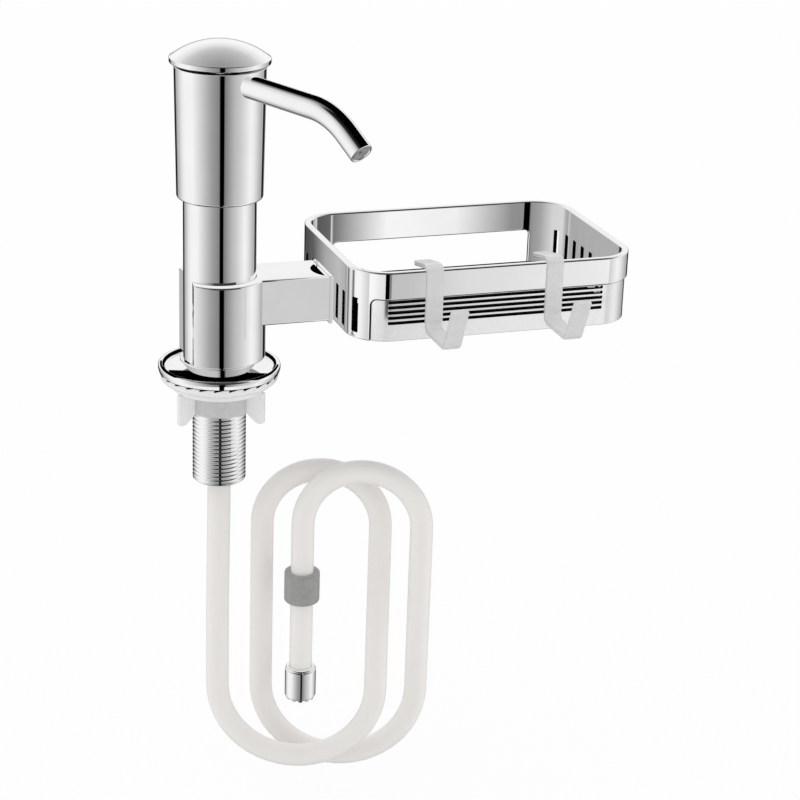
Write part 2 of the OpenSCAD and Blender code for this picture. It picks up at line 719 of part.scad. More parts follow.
lip_z = basket_top + hook_gap + hook_t / 2;
prong_y = strap_y - hook_reach;
prong_angle = atan(prong_lean / prong_h);
hook_line = concat(
    [[strap_y + 4.2 + lip_reach, lip_z - lip_drop], [strap_y + 4.2, lip_z]],
    bend([strap_y + 1.6, lip_z - 1.6], 1.6, 90, 180, 3),
    bend([strap_y - hook_bend, hook_low + hook_bend], hook_bend, 0, -90, 4),
    bend([prong_y + hook_bend, hook_low + hook_bend], hook_bend, -90, -180 + prong_angle, 3),
    [[prong_y - prong_lean, hook_low + prong_h]]);

module hook(x) color(frosted, 0.6) translate([x - hook_w / 2, 0, 0])
    rotate([90, 0, 90]) linear_extrude(hook_w) polygon(band(hook_line, hook_t));

module hook_left() hook(hook_first_x);
module hook_right() hook(hook_first_x + hook_spacing);

module hose_riser() color(natural)
    ring(hose_r, hose_bore_r, riser_low, pump_low - inlet_h - fixed_gap);

// A point of the hose's plane: along it, out of it towards the front, and up
function in_plane(u, w, z) =
    [u * cos(hose_turn) + w * sin(hose_turn), u * sin(hose_turn) - w * cos(hose_turn), z];
function ease(t) = t * t * (3 - 2 * t);
function left(i) = i * loop_pitch;
function right(i) = loop_span + i * (loop_pitch - 0.5);
function low_r(i) = (right(i) - left(i)) / 2;
function high_r(i) = (right(i) - left(i + 1)) / 2;
function low_mid(i) = hose_first_low + i * hose_low_step + low_r(i);
function high_mid(i) = hose_first_high + i * hose_high_step - high_r(i);
function low_w(i) = loop_depth * (i % 2 == 0 ? 1 : -1);
function high_w(i) = -low_w(i);

function low_arc(i) = [for (k = [0:arc_steps]) let (a = 180 + 180 * k / arc_steps)
    in_plane((left(i) + right(i)) / 2 + low_r(i) * cos(a), low_w(i), low_mid(i) + low_r(i) * sin(a))];
function rise(i) = [for (k = [1:run_steps]) let (t = k / (run_steps + 1))
    in_plane(right(i), low_w(i) + (high_w(i) - low_w(i)) * ease(t),
        low_mid(i) + (high_mid(i) - low_mid(i)) * t)];
function high_arc(i) = [for (k = [0:arc_steps]) let (a = 180 * k / arc_steps)
    in_plane((left(i + 1) + right(i)) / 2 + high_r(i) * cos(a), high_w(i),
        high_mid(i) + high_r(i) * sin(a))];

coil_route = concat([in_plane(0, low_w(0), low_mid(0) + 2 * hose_r)],
    [for (i = [0:loops - 1]) each concat(low_arc(i), rise(i), high_arc(i))],
    [in_plane(last_left, high_w(loops - 1), high_mid(loops - 1) - 2 * hose_r)]);

// Heights of the straight stretch from the shank to the first loop
drop_heights = [-37, -50, -65, -85, -105, -125];
drop_bend = 60;
drop_low = low_mid(0) + 2 * hose_r;
drop_route = concat([for (z = drop_heights)
        in_plane(0, low_w(0) * ease(max(0, min(1, (-50 - z) / drop_bend))), z)],
    [in_plane(0, low_w(0), drop_low)]);
tail_high = high_mid(loops - 1) - 2 * hose_r;
tail_route = [for (z = [tail_high, (tail_high + tail_end) / 2, tail_end])
    in_plane(last_left, high_w(loops - 1), z)];
tail_place = in_plane(last_left, high_w(loops - 1), 0);
front_hint = in_plane(0, 1, 0);

module hose_drop() color(natural) tube(drop_route, hose_r, hose_sides, front_hint);
module hose_coil() color(natural) tube(coil_route, hose_r, coil_sides, front_hint);
module hose_tail() color(natural) tube(tail_route, hose_r, hose_sides, front_hint);

function route_length(route) = let (steps = [for (i = [1:len(route) - 1]) norm(route[i] - route[i - 1])])
    steps * [for (s = steps) 1];
coil_gap = min([for (i = [0:len(coil_route) - 1], j = [i + 5:1:len(coil_route) - 1])
    norm(coil_route[i] - coil_route[j])]) - 2 * hose_r;
union() {
    echo(least_gap_in_hose_loops = coil_gap);
    echo(hose_length = route_length(drop_route) + route_length(coil_route)
        + route_length(tail_route));
}

module hose_stop() color(grey) translate([tail_place[0], tail_place[1], 0])
    ring(stop_r, hose_r + run_gap, stop_z, stop_z + stop_len);

module valve_body() color(chrome) translate([tail_place[0], tail_place[1], 0]) difference() {
    rotate_extrude() polygon([[0, valve_low], [valve_r - 0.5, valve_low],
        [valve_r, valve_low + 0.5], [valve_r, valve_top - 0.9], [valve_r - 0.5, valve_top - 0.2],
        [valve_r - 0.9, valve_top], [0, valve_top]]);
    translate([0, 0, tail_end]) cylinder(r = hose_r + run_gap, h = 9);
    translate([0, 0, tail_end - 9]) cylinder(r = 1.4, h = 12);
    translate([0, 0, tail_end - 20]) cylinder(r = chamber_r, h = 18.5);
    translate([0, 0, valve_low - 1]) cylinder(r = valve_r - 1.2, h = 3.5);
}

module valve_ball()
    color(steel) ball(ball_r, valve_low + 2.5 + ball_seat_rise, tail_place[0], tail_place[1]);

// The foot valve's seat, with a crown of short feet below it
module valve_strainer() color(steel) translate([tail_place[0], tail_place[1], 0]) difference() {
    union() {
        translate([0, 0, valve_low - crown_h])
            cylinder(r = valve_r - 1.2 - fixed_gap, h = crown_h + 2.5);
        translate([0, 0, valve_low - crown_h]) cylinder(r = valve_r - 0.6, h = crown_h - 0.1);
    }
    translate([0, 0, valve_low - 9]) cylinder(r = seat_r, h = 20);
    translate([0, 0, valve_low - 9]) cylinder(r = valve_r - 2.6, h = 8.6);
    for (a = [0:30:150]) rotate([0, 0, a])
        translate([-20, -0.8, valve_low - 5]) cube([40, 1.6, 4.6]);
}

deck_flange();
flange_gasket();
barrel_foot();
barrel();
threaded_shank();
lock_ring();
wing_nut();
pump_cylinder();
guide_bush();
inlet_fitting();
inlet_ball();
ball_cage();
return_spring();
piston_stem();
piston_seal();
outlet_ball();
head_core();
head_sleeve();
head_cap();
spout_tube();
spout_nozzle();
clip_ring();
caddy_arm();
arm_plate();
arm_screws();
basket_frame();
front_panel();
basket_floor();
hook_left();
hook_right();
hose_riser();
hose_drop();
hose_coil();
hose_tail();
hose_stop();
valve_body();
valve_ball();
valve_strainer();
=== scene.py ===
# Looks of the soap pump caddy: a chrome deck pump, a clip-on basket with hooks, and a looped feed hose.
# Lengths are in millimetres until a mesh is made. +Z is up from the deck, and +X runs to the basket.
import json
from functools import partial
from math import acos, asin, atan2, copysign, cos, degrees, pi, radians, sin, sqrt, tan

import bmesh
import bpy
from mathutils import Matrix, Vector


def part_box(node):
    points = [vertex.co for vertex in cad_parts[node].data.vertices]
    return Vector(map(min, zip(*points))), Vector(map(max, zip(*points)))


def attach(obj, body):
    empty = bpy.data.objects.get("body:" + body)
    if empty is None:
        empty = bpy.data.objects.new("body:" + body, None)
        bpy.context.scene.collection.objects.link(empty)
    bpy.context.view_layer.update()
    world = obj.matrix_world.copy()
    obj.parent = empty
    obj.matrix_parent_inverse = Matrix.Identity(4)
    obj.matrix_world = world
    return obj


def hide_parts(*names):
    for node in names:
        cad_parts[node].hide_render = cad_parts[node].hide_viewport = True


MM = 0.001
MERGE = 0.0004
SHARP_ANGLE = 48
SIDES = 144
# The only piece that others mirror; the rest would clutter the chrome
REFLECTED = ("clip_band",)

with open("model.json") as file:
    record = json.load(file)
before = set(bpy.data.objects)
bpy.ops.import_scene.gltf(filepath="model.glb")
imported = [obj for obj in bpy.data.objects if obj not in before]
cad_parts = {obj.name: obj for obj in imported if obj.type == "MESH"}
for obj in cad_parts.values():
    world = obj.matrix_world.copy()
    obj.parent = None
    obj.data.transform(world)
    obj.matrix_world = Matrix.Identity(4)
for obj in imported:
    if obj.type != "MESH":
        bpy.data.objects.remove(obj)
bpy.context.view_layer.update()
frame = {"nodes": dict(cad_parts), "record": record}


def span(node):
    """A node's lowest and highest corners, in millimetres."""
    low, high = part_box(node)
    return low / MM, high / MM


# Meshes

def plain_mesh(name, points, faces):
    mesh = bpy.data.meshes.new(name)
    mesh.from_pydata([Vector(p) * MM for p in points], [], faces)
    return mesh


def closed_mesh(name, shape):
    """A mesh from a shape, (points, faces), with closed seams and faces that look outwards."""
    mesh = plain_mesh(name, *shape)
    work = bmesh.new()
    work.from_mesh(mesh)
    bmesh.ops.remove_doubles(work, verts=work.verts, dist=MERGE * MM)
    bmesh.ops.dissolve_degenerate(work, edges=work.edges, dist=MERGE * MM)
    bmesh.ops.recalc_face_normals(work, faces=work.faces)
    work.to_mesh(mesh)
    work.free()
    return mesh


def placed(name, data):
    """A new object in the scene."""
    piece = bpy.data.objects.new(name, data)
    bpy.context.scene.collection.objects.link(piece)
    return piece


def make_piece(name, shape, body, slot, *replaces, look=None):
    """One smooth piece with true edges, in its slot's material or in a look of its own."""
    mesh = closed_mesh(name, shape)
    mesh.shade_smooth()
    mesh.set_sharp_from_angle(angle=radians(SHARP_ANGLE))
    mesh.materials.append(look or MATERIALS[slot])
    piece = placed(name, mesh)
    normals = piece.modifiers.new("even_normals", "WEIGHTED_NORMAL")
    normals.keep_sharp = True
    piece.visible_glossy = name in REFLECTED
    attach(piece, body)
    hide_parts(*replaces)
    return piece


def repaint(piece, material, here):
    """Gives a second material to the faces that here(middle, normal) picks, in millimetres."""
    piece.data.materials.append(material)
    for face in piece.data.polygons:
        if here(face.center / MM, face.normal):
            face.material_index = 1


def merged(*shapes):
    """Several shapes as one list of points and one of faces."""
    points, faces = [], []
    for more_points, more_faces in shapes:
        start = len(points)
        points += more_points
        faces += [tuple(start + i for i in face) for face in more_faces]
    return points, faces


def moved(shape, matrix):
    """A shape turned and moved by a matrix."""
    points, faces = shape
    return [matrix @ Vector(p) for p in points], faces


def fillet(corners, steps=5):
    """A closed outline whose corners, (x, y, radius), are round."""
    outline = []
    count = len(corners)
    for i, (x, y, radius) in enumerate(corners):
        here = Vector((x, y))
        if radius == 0:
            outline.append(here)
            continue
        back = (Vector(corners[i - 1][:2]) - here).normalized()
        ahead = (Vector(corners[(i + 1) % count][:2]) - here).normalized()
        half = back.angle(ahead) / 2
        middle = here + (back + ahead).normalized() * radius / sin(half)
        first = here + back * radius / tan(half) - middle
        last = here + ahead * radius / tan(half) - middle
        start = atan2(first.y, first.x)
        turn = (atan2(last.y, last.x) - start + pi) % (2 * pi) - pi
        for k in range(steps + 1):
            angle = start + turn * k / steps
            outline.append(middle + radius * Vector((cos(angle), sin(angle))))
    return outline


def rectangle(x0, y0, x1, y1, radii, steps=5):
    """A closed outline with four round corners, whose radii go round from (x0, y0)."""
    return fillet(list(zip((x0, x1, x1, x0), (y0, y0, y1, y1), radii)), steps)


def wrap(rows, count, closed=True):
    """The faces over rows of points. The last row joins the first, or else both ends are flat."""
    faces = []
    for i in range(rows if closed else rows - 1):
        j = (i + 1) % rows
        for k in range(count):
            m = (k + 1) % count
            faces.append((i * count + k, j * count + k, j * count + m, i * count + m))
    if not closed:
        faces += [tuple(range(count)), tuple(range((rows - 1) * count, rows * count))]
    return faces


def lathe(profile, at=(0, 0), sides=SIDES):
    """A closed (radius, height) profile turned about an upright axis."""
    points = []
    for i in range(sides):
        angle = radians(360 * i / sides)
        points += [(at[0] + r * cos(angle), at[1] + r * sin(angle), z) for r, z in profile]
    return points, wrap(sides, len(profile))


def draw_in(chain, closed):
    """How each point of a chain moves for every millimetre that the chain is drawn to its left."""
    count = len(chain)
    sides = []
    for i in range(count if closed else count - 1):
        along = (chain[(i + 1) % count] - chain[i]).normalized()
        sides.append(Vector((-along.y, along.x)))
    moves = []
    for i in range(count):
        before = sides[i - 1] if closed or i > 0 else sides[0]
        after = sides[i] if closed or i < count - 1 else sides[-1]
        moves.append((before + after) / (1 + before.dot(after)))
    return moves


def plate(chains, place, thick, edge, stations=(), steps=4, hole_edge=None):
    """A plate of even thickness with round edges, bent by place(u, v, depth).

    Each chain is (points, closed) in (u, v), with the plate's material on its left. Closed chains after the
    first can have a finer edge."""
    turns = [radians(90 * k / steps) for k in range(steps + 1)]
    front = [(edge * (1 - sin(a)), edge * (1 - cos(a))) for a in turns]
    back = [(inset, thick - depth) for inset, depth in reversed(front)]
    rings = front + back

    drawn = []
    for i, (chain, closed) in enumerate(chains):
        finer = hole_edge / edge if hole_edge and closed and i > 0 else 1
        drawn.append((chain, [move * finer for move in draw_in(chain, closed)], closed))
    inner = [[p + move * edge for p, move in zip(chain, moves)] for chain, moves, _ in drawn]
    cuts = sorted({round(q.x, 3) for line in inner for q in line} | {round(s, 3) for s in stations})

    points, faces = [], []
    columns = {}
    heights = {}
    for (chain, moves, closed), line in zip(drawn, inner):
        count = len(chain)
        stops = []
        for i in range(count):
            stops.append((i, 0.0, round(line[i].x, 3)))
            if not closed and i == count - 1:
                break
            here, there = line[i].x, line[(i + 1) % count].x
            low, high = sorted((round(here, 3), round(there, 3)))
            between = [s for s in cuts if low < s < high]
            if here > there:
                between.reverse()
            stops += [(i, (s - here) / (there - here), s) for s in between]
        first = len(points)
        for i, part, _ in stops:
            j = (i + 1) % count
            for inset, depth in rings:
                p = (chain[i] + moves[i] * inset).lerp(chain[j] + moves[j] * inset, part)
                points.append(place(p.x, p.y, depth))
        total = len(stops)
        for k in range(total if closed else total - 1):
            m = (k + 1) % total
            for ring in range(len(rings) - 1):
                a = first + k * len(rings) + ring
                b = first + m * len(rings) + ring
                faces.append((a, b, b + 1, a + 1))
        marks = []
        for k, (i, part, station) in enumerate(stops):
            v = line[i].lerp(line[(i + 1) % count], part).y
            mark = (station, v, first + k * len(rings))
            marks.append(mark)
            heights.setdefault(station, []).append((v, mark[2]))
        for k in range(total if closed else total - 1):
            one, two = sorted((marks[k], marks[(k + 1) % total]))
            if one[0] < two[0]:
                columns.setdefault(one[0], []).append((one, two))

    last = len(rings) - 1
    for pairs in columns.values():
        pairs.sort(key=lambda pair: pair[0][1] + pair[1][1])
        for low, high in zip(pairs[::2], pairs[1::2]):
            right = sorted(x for x in heights[low[1][0]] if low[1][1] < x[0] < high[1][1])
            left = sorted(x for x in heights[low[0][0]] if low[0][1] < x[0] < high[0][1])
            loop = [low[0][2], low[1][2]] + [x[1] for x in right] + [high[1][2], high[0][2]]
            loop += [x[1] for x in reversed(left)]
            loop = list(dict.fromkeys(loop))
            faces.append(tuple(loop))
            faces.append(tuple(i + last for i in reversed(loop)))
    return points, faces


# Materials

def give(socket, value):
    """Gives an input another node's result, a number or, where it takes a colour, a grey."""
    if isinstance(value, bpy.types.NodeSocket):
        socket.id_data.links.new(value, socket)
    elif socket.type == "RGBA":
        socket.default_value = (value, value, value, 1)
    else:
        socket.default_value = value


def fill(owner, **named):
    """Gives a node's inputs by name, with _ for spaces."""
    for name, value in named.items():
        give(owner.inputs[name.replace("_", " ")], value)


def add(tree, kind, *values, **named):
    """A new node, whose inputs are given in order or by name."""
    made = tree.nodes.new("ShaderNode" + kind)
    for socket, value in zip(made.inputs, values):
        give(socket, value)
    fill(made, **named)
    return made


def maths_node(tree, operation, *values):
    made = add(tree, "Math", *values)
    made.operation = operation
    return made.outputs[0]


def ramp_node(tree, value, stops):
    """The grey, or the colour, that a value has among stops."""
    made = add(tree, "ValToRGB", value)
    elements = made.color_ramp.elements
    while len(elements) < len(stops):
        elements.new(0.5)
    for element, (position, shade) in zip(elements, stops):
        element.position = position
        element.color = (*shade, 1) if isinstance(shade, tuple) else (shade, shade, shade, 1)
    return made.outputs["Color"]


# The sockets of a mix node that mixes colours
MIX_A, MIX_B, MIX_OUT = 6, 7, 2


def mix_node(tree, factor, first, second, blend="MIX"):
    made = add(tree, "Mix")
    made.data_type = "RGBA"
    made.blend_type = blend
    for socket, value in ((0, factor), (MIX_A, first), (MIX_B, second)):
        give(made.inputs[socket], value)
    return made.outputs[MIX_OUT]


def shader(name, **sockets):
    """A material with one shader."""
    material = bpy.data.materials.new(name)
    material.use_nodes = True
    surface = material.node_tree.nodes["Principled BSDF"]
    fill(surface, **sockets)
    return material, material.node_tree, surface


def uneven(name, scale, bump, rough, dark, light, **sockets):
    """A material with a fine grain, over which its roughness and its colour change a little."""
    material, tree, surface = shader(name, **sockets)
    where = add(tree, "TexCoord").outputs["Object"]
    grain = add(tree, "TexNoise", where, Scale=scale, Detail=3).outputs["Fac"]
    spread = add(tree, "MapRange", grain, To_Min=rough[0], To_Max=rough[1])
    relief = add(tree, "Bump", Strength=bump, Distance=GRAIN_DEPTH * MM, Height=grain)
    fill(surface, Roughness=spread.outputs["Result"], Normal=relief.outputs["Normal"],
         Base_Color=ramp_node(tree, grain, ((0.35, dark), (0.65, light))))
    return material


def metal(name, *grain_and_colour):
    return uneven(name, *grain_and_colour, Metallic=1)


def plastic(name, rough, dark, light, **sockets):
    scale, bump = 500, 0.12
    return uneven(name, scale, bump, rough, dark, light, **sockets)


GRAIN_DEPTH = 0.02
MATERIALS = {
    "chrome": metal("chrome", 60, 0.02, (0.015, 0.035), (0.9, 0.9, 0.905), (0.93, 0.93, 0.935)),
    "steel": metal("bright_steel", 300, 0.05, (0.12, 0.22), (0.66, 0.67, 0.68), (0.76, 0.77, 0.78)),
    "white_plastic": plastic("white_plastic", (0.3, 0.42), 0.94, 0.96),
    "natural_plastic": plastic("natural_plastic", (0.35, 0.45), (0.83, 0.82, 0.78), (0.88, 0.87, 0.83)),
    "frosted_plastic": plastic(
        "frosted_plastic", (0.25, 0.35), (0.9, 0.905, 0.905), (0.94, 0.945, 0.945),
        Transmission_Weight=0.25, IOR=1.4),
    "dark_plastic": plastic("dark_plastic", (0.4, 0.5), 0.006, 0.01, Specular_IOR_Level=0),
    "grey_plastic": plastic("grey_plastic", (0.4, 0.5), (0.33, 0.33, 0.325), (0.38, 0.38, 0.375)),
    "hose": plastic("hose_plastic", (0.3, 0.4), (0.96, 0.935, 0.905), (0.97, 0.945, 0.915),
                    Sheen_Weight=0.6),
    "black_rubber": plastic("black_rubber", (0.5, 0.65), 0.01, 0.02),
}
# Looks of the front panel and the dome, then a near-black painted shade, which also serves as painted dark
# reflection, and a grey painted shade for the nut's hub
SATIN = metal("satin_chrome", 900, 0.002, (0.2, 0.22), 0.86, 0.9)
SOFT = metal("soft_chrome", 60, 0.01, (0.07, 0.09), 0.96, 0.97)
SHADE = plastic("shade", (0.7, 0.8), 0.002, 0.003, Specular_IOR_Level=0)
HUB_SHADE = plastic("hub_painted_shade", (0.35, 0.45), 0.62, 0.66)

for entry in frame["record"]["subparts"]:
    node = frame["nodes"][entry["node"]]
    node.data.materials.clear()
    node.data.materials.append(MATERIALS[entry["material_slot"]])
    node.visible_glossy = False


# Deck fixings: flange, foot, barrel, thread, lock ring and wing nut

BORE_GAP = 0.1
shank_low, shank_high = span("threaded_shank")
flange_low, flange_high = span("deck_flange")
ring_low, ring_high = span("lock_ring")
SHANK_R = 11.455
SHANK_BORE_R = 8.8
THREAD_PITCH = 1.814
THREAD_DEPTH = 0.24
THREAD_TOP = -0.7
NUT_HUB_R, NUT_HUB_HIGH = 13.4, -7.3


def deck_flange():
    low, high = flange_low, flange_high
    outer, inside, wall = high.x, high.x - 1.9, 0.7
    floor_low, floor_high = 0.8, 1.3
    hollow = high.z - floor_high
    return lathe(fillet([
        (SHANK_R + BORE_GAP, floor_low, 0), (outer - wall, floor_low, 0.1), (outer - wall - 0.2, low.z, 0.1),
        (outer - 0.4, low.z, 0.2), (outer, high.z - 1.7, 0.3), (outer, high.z, 0.95), (inside, high.z, 0.7),
        (inside - 0.5 * hollow, floor_high, 1.9), (SHANK_R + BORE_GAP, floor_high, 0)], 8))


def in_lip(middle, normal):
    """True for the flange's inner lip, a narrow slope painted near black as a painted reflection of the dark
    foot of the barrel.
    """
    top, edge = flange_high.z, flange_high.x
    return top - 1.5 < middle.z < top - 0.12 and middle.xy.length < edge - 1.5 and normal.z < 0.97


def barrel_foot():
    low, high = span("barrel_foot")
    lip, lip_top = high.x, 6.2
    bore = SHANK_R + 0.05
    return lathe(fillet([
        (bore, low.z, 0), (13.6, low.z, 1.2), (lip - 0.8, lip_top - 1.5, 5.0), (lip, lip_top - 0.7, 0.25),
        (lip, lip_top, 0.3), (14, lip_top, 0), (bore, lip_top, 0)], 8))


def barrel():
    low, high = span("barrel")
    wall = 1.3
    return lathe(rectangle(high.x - wall, low.z, high.x, high.z, (0, 0.15, 0.3, 0)))


def threaded_shank():
    """A real screw thread: every ring of points climbs one pitch in a turn."""
    sides, count = 120, 10
    ridge = [SHANK_R - THREAD_DEPTH * (1 + cos(2 * pi * j / count)) / 2 for j in range(count)]
    low, high = shank_low.z, THREAD_TOP
    lead_in, fade, rounding = 0.7, 0.8, 0.8
    rows = count * (int((high - low) / THREAD_PITCH) + 2)
    points = []
    for k in range(sides):
        angle = 2 * pi * k / sides
        for j in range(rows):
            z = low + THREAD_PITCH * (j // count + j % count / count + k / sides - 1)
            z = min(max(z, low), high)
            plain = SHANK_R - 0.05 - rounding * max(0, 1 - (z - low) / rounding) ** 2
            mix = min(1, max(0, (z - low - lead_in) / fade))
            radius = plain + (ridge[j % count] - plain) * mix if z < high else SHANK_R
            points.append((radius * cos(angle), radius * sin(angle), z))
    faces = []
    for k in range(sides):
        # The last column meets the first one a whole turn higher
        ahead, shorter = (rows, 0) if k < sides - 1 else (count - k * rows, count)
        for here in range(k * rows, (k + 1) * rows - 1 - shorter):
            faces.append((here, here + ahead, here + ahead + 1, here + 1))
    return points, faces


def shank_core():
    """The plain tube inside the thread, and its collar."""
    collar_r, collar_low, collar_high = 12.655, 4.4, 6.8
    return lathe([
        (SHANK_BORE_R, shank_low.z + 0.02), (SHANK_R - 1.0, shank_low.z + 0.02),
        (SHANK_R - 1.2, shank_low.z + 1), (SHANK_R - 1.2, THREAD_TOP - 0.1), (SHANK_R, THREAD_TOP),
        (SHANK_R, collar_low),
        (collar_r, collar_low), (collar_r, collar_high), (SHANK_BORE_R, collar_high)])


def lock_ring():
    """A ring with saw teeth on its upper rim."""
    low, high, outer = ring_low, ring_high, ring_high.x
    teeth, nose_turn, depth, band, slope = 25, -109.3, 0.9, 2.6, 0.62
    bore = SHANK_R + 0.55
    floor = high.z - depth - 0.4
    pitch = 360 / teeth
    rows = []
    for i in range(teeth):
        start = nose_turn + i * pitch
        rows += [(start, high.z), (start, high.z - depth)]
        rows += [(start + pitch * slope * k / 3, high.z - depth * (1 - k / 3)) for k in (1, 2, 3)]
        rows.append((start + pitch * (slope + (1 - slope) / 2), high.z))
    points = []
    for angle, top in rows:
        turn = radians(angle)
        profile = [
            (bore, low.z), (21, low.z), (21.6, low.z + 0.05), (23, low.z + 0.35), (24, low.z + 0.95),
            (24.7, low.z + 1.7), (outer, low.z + 2.5), (outer, top - 0.12), (outer - 0.12, top),
            (outer - band, top), (outer - band, floor), (bore, floor)]
        points += [(r * cos(turn), r * sin(turn), z) for r, z in profile]
    return points, wrap(len(rows), len(profile))


def in_gap(middle, normal):
    """True for the floors of the gaps between the lock ring's teeth, painted near black as painted shade."""
    outside = middle.xy.length > ring_high.x - 2.8
    return outside and normal.z > 0.5 and middle.z < ring_high.z - 0.03


def wing_nut():
    low, high = span("wing_nut")
    bore = SHANK_R + 0.15
    hub_r, flange_r, flange_h, hub_low = NUT_HUB_R, 20.4, 2.6, -17.35
    round_part = lathe(fillet([
        (bore, hub_low, 0.2), (hub_r, hub_low, 0.4), (hub_r, high.z - flange_h, 0.5),
        (flange_r, high.z - flange_h, 1.1), (flange_r, high.z, 0.2), (bore, high.z, 0)]))
    wing_thick = 2.5
    wing_r = 21.1
    outline = fillet([
        (hub_r - 1, hub_low + 0.4, 0), (wing_r - 3.4, low.z + 0.25, 1.2), (wing_r, low.z, 1.5),
        (wing_r, high.z - flange_h + 0.2, 0.6), (hub_r - 1, high.z - flange_h + 0.6, 0)])
    flat = plate([(outline, True)], lambda u, v, depth: (u, v, depth), wing_thick, 0.6)
    wings = []
    for turn in (-39.3, 80.7, 200.7):
        place = Matrix.Rotation(radians(turn), 4, "Z") @ Matrix.Rotation(radians(90), 4, "X")
        wings.append(moved(flat, place @ Matrix.Translation((0, 0, -wing_thick / 2))))
    return merged(round_part, *wings)


dish = make_piece("flange_dish", deck_flange(), "base", "chrome", "deck_flange")
repaint(dish, SHADE, in_lip)
make_piece("foot_bowl", barrel_foot(), "base", "chrome", "barrel_foot")
make_piece("barrel_tube", barrel(), "base", "chrome", "barrel")
make_piece("shank_thread", merged(threaded_shank(), shank_core()), "base", "chrome", "threaded_shank")
washer = make_piece("toothed_washer", lock_ring(), "toothed_ring", "white_plastic", "lock_ring")
repaint(washer, SHADE, in_gap)
nut = make_piece("winged_nut", wing_nut(), "nut", "white_plastic", "wing_nut")
# The nut's hub under the flange is painted a darker grey as painted shade
repaint(nut, HUB_SHADE, lambda middle, normal: middle.xy.length < NUT_HUB_R + 0.6 and middle.z < NUT_HUB_HIGH)


# Pump head: sleeve, cap and spout

HEAD_BORE_R = 16.4
SLEEVE_LOW_R = 18.0
SLEEVE_HIGH_R = 18.9


def head_sleeve():
    low, high = span("head_sleeve")
    return lathe(fillet([
        (HEAD_BORE_R, low.z, 0.3), (SLEEVE_LOW_R, low.z, 1.3), (SLEEVE_HIGH_R, high.z, 0.05),
        (HEAD_BORE_R, high.z, 0)], 8))


RIM_HIGH = 134.6


def head_cap():
    high = span("head_cap")[1]
    rim_r = high.x
    base = 130.8
    rim_low = base + 1.7
    edge_r = rim_r - 0.4
    rise = high.z - RIM_HIGH
    ball = (edge_r ** 2 + rise ** 2) / (2 * rise)
    radii = [edge_r * (1 - k / 24) for k in range(25)]
    dome = [(r, high.z - ball + sqrt(ball ** 2 - r ** 2)) for r in radii]
    profile = [(0, base), (SLEEVE_HIGH_R - 0.4, base), (SLEEVE_HIGH_R - 0.1, base + 0.1)]
    profile += [(rim_r - 0.5, rim_low - 0.3), (rim_r - 0.1, rim_low), (rim_r, rim_low + 0.25)]
    profile += [(rim_r, RIM_HIGH - 0.35), (rim_r - 0.1, RIM_HIGH - 0.12)]
    return lathe(profile + dome)


SPOUT_R = 4.8
SPOUT_WALL = 0.9
SPOUT_HEADING = -64
SPOUT_DROOP = 2
SPOUT_Z = 126.2
SPOUT_STRAIGHT = 56
SPOUT_BEND_R, SPOUT_BEND = 34.5, 34.5
SPOUT_END = 10.4
SPOUT_ROOT = 15
spout_place = Matrix.Translation((0, 0, SPOUT_Z)) @ Matrix.Rotation(radians(SPOUT_HEADING), 4, "Z")
spout_place @= Matrix.Rotation(radians(SPOUT_DROOP), 4, "Y")


def along_spout(distance):
    """The spout's middle and its upper side, at a distance from the pump's axis."""
    bend_length = SPOUT_BEND_R * radians(SPOUT_BEND)
    past = distance - SPOUT_STRAIGHT
    turn = min(max(past, 0), bend_length) / SPOUT_BEND_R
    run = Vector((cos(turn), 0, -sin(turn)))
    up = Vector((sin(turn), 0, cos(turn)))
    centre = Vector((SPOUT_STRAIGHT, 0, -SPOUT_BEND_R))
    middle = centre + SPOUT_BEND_R * up + run * (min(past, 0) + max(past - bend_length, 0))
    return middle, up


SPOUT_LENGTH = SPOUT_STRAIGHT + SPOUT_BEND_R * radians(SPOUT_BEND) + SPOUT_END


def spout_shape(profile):
    """A (radius, distance) profile carried round the spout's middle line."""
    sides, across = 64, Vector((0, 1, 0))
    points = []
    for radius, distance in profile:
        middle, up = along_spout(distance)
        for k in range(sides):
            angle = 2 * pi * k / sides
            points.append(spout_place @ (middle + radius * (cos(angle) * across + sin(angle) * up)))
    return points, wrap(len(profile), sides, False)


def spout_tube():
    lip, steps = 0.35, 60
    bore, run = SPOUT_R - SPOUT_WALL, SPOUT_LENGTH - lip - SPOUT_ROOT
    profile = [(SPOUT_R, SPOUT_ROOT + run * k / steps) for k in range(steps + 1)]
    for turn in (18, 36, 54, 72, 90):
        a = radians(turn)
        profile.append((SPOUT_R - lip * (1 - cos(a)), SPOUT_LENGTH - lip * (1 - sin(a))))
    profile += [(bore + 0.1, SPOUT_LENGTH), (bore, SPOUT_LENGTH - 0.1), (bore, SPOUT_LENGTH - 5)]
    return spout_shape(profile)


def spout_nozzle():
    outer = SPOUT_R - SPOUT_WALL - 0.05
    end = SPOUT_LENGTH - 0.4
    rings = [(outer, 0), (outer - 0.55, 0), (outer - 0.65, -0.35), (outer - 1.25, -0.35),
             (outer - 1.35, -0.1), (outer - 1.9, -0.1), (outer - 2.0, -0.5), (1.0, -0.5), (0.95, -3)]
    return spout_shape([(outer, end - 8)] + [(r, end + step) for r, step in rings])


make_piece("head_shell", head_sleeve(), "head", "chrome", "head_sleeve")
dome = make_piece("head_dome", head_cap(), "head", "chrome", "head_cap", look=SOFT)
repaint(dome, MATERIALS["chrome"], lambda middle, normal: middle.z < RIM_HIGH - 0.05)
make_piece("spout_pipe", spout_tube(), "head", "chrome", "spout_tube")
make_piece("spout_insert", spout_nozzle(), "head", "grey_plastic", "spout_nozzle")


# Caddy: clip ring, arm, plate and basket

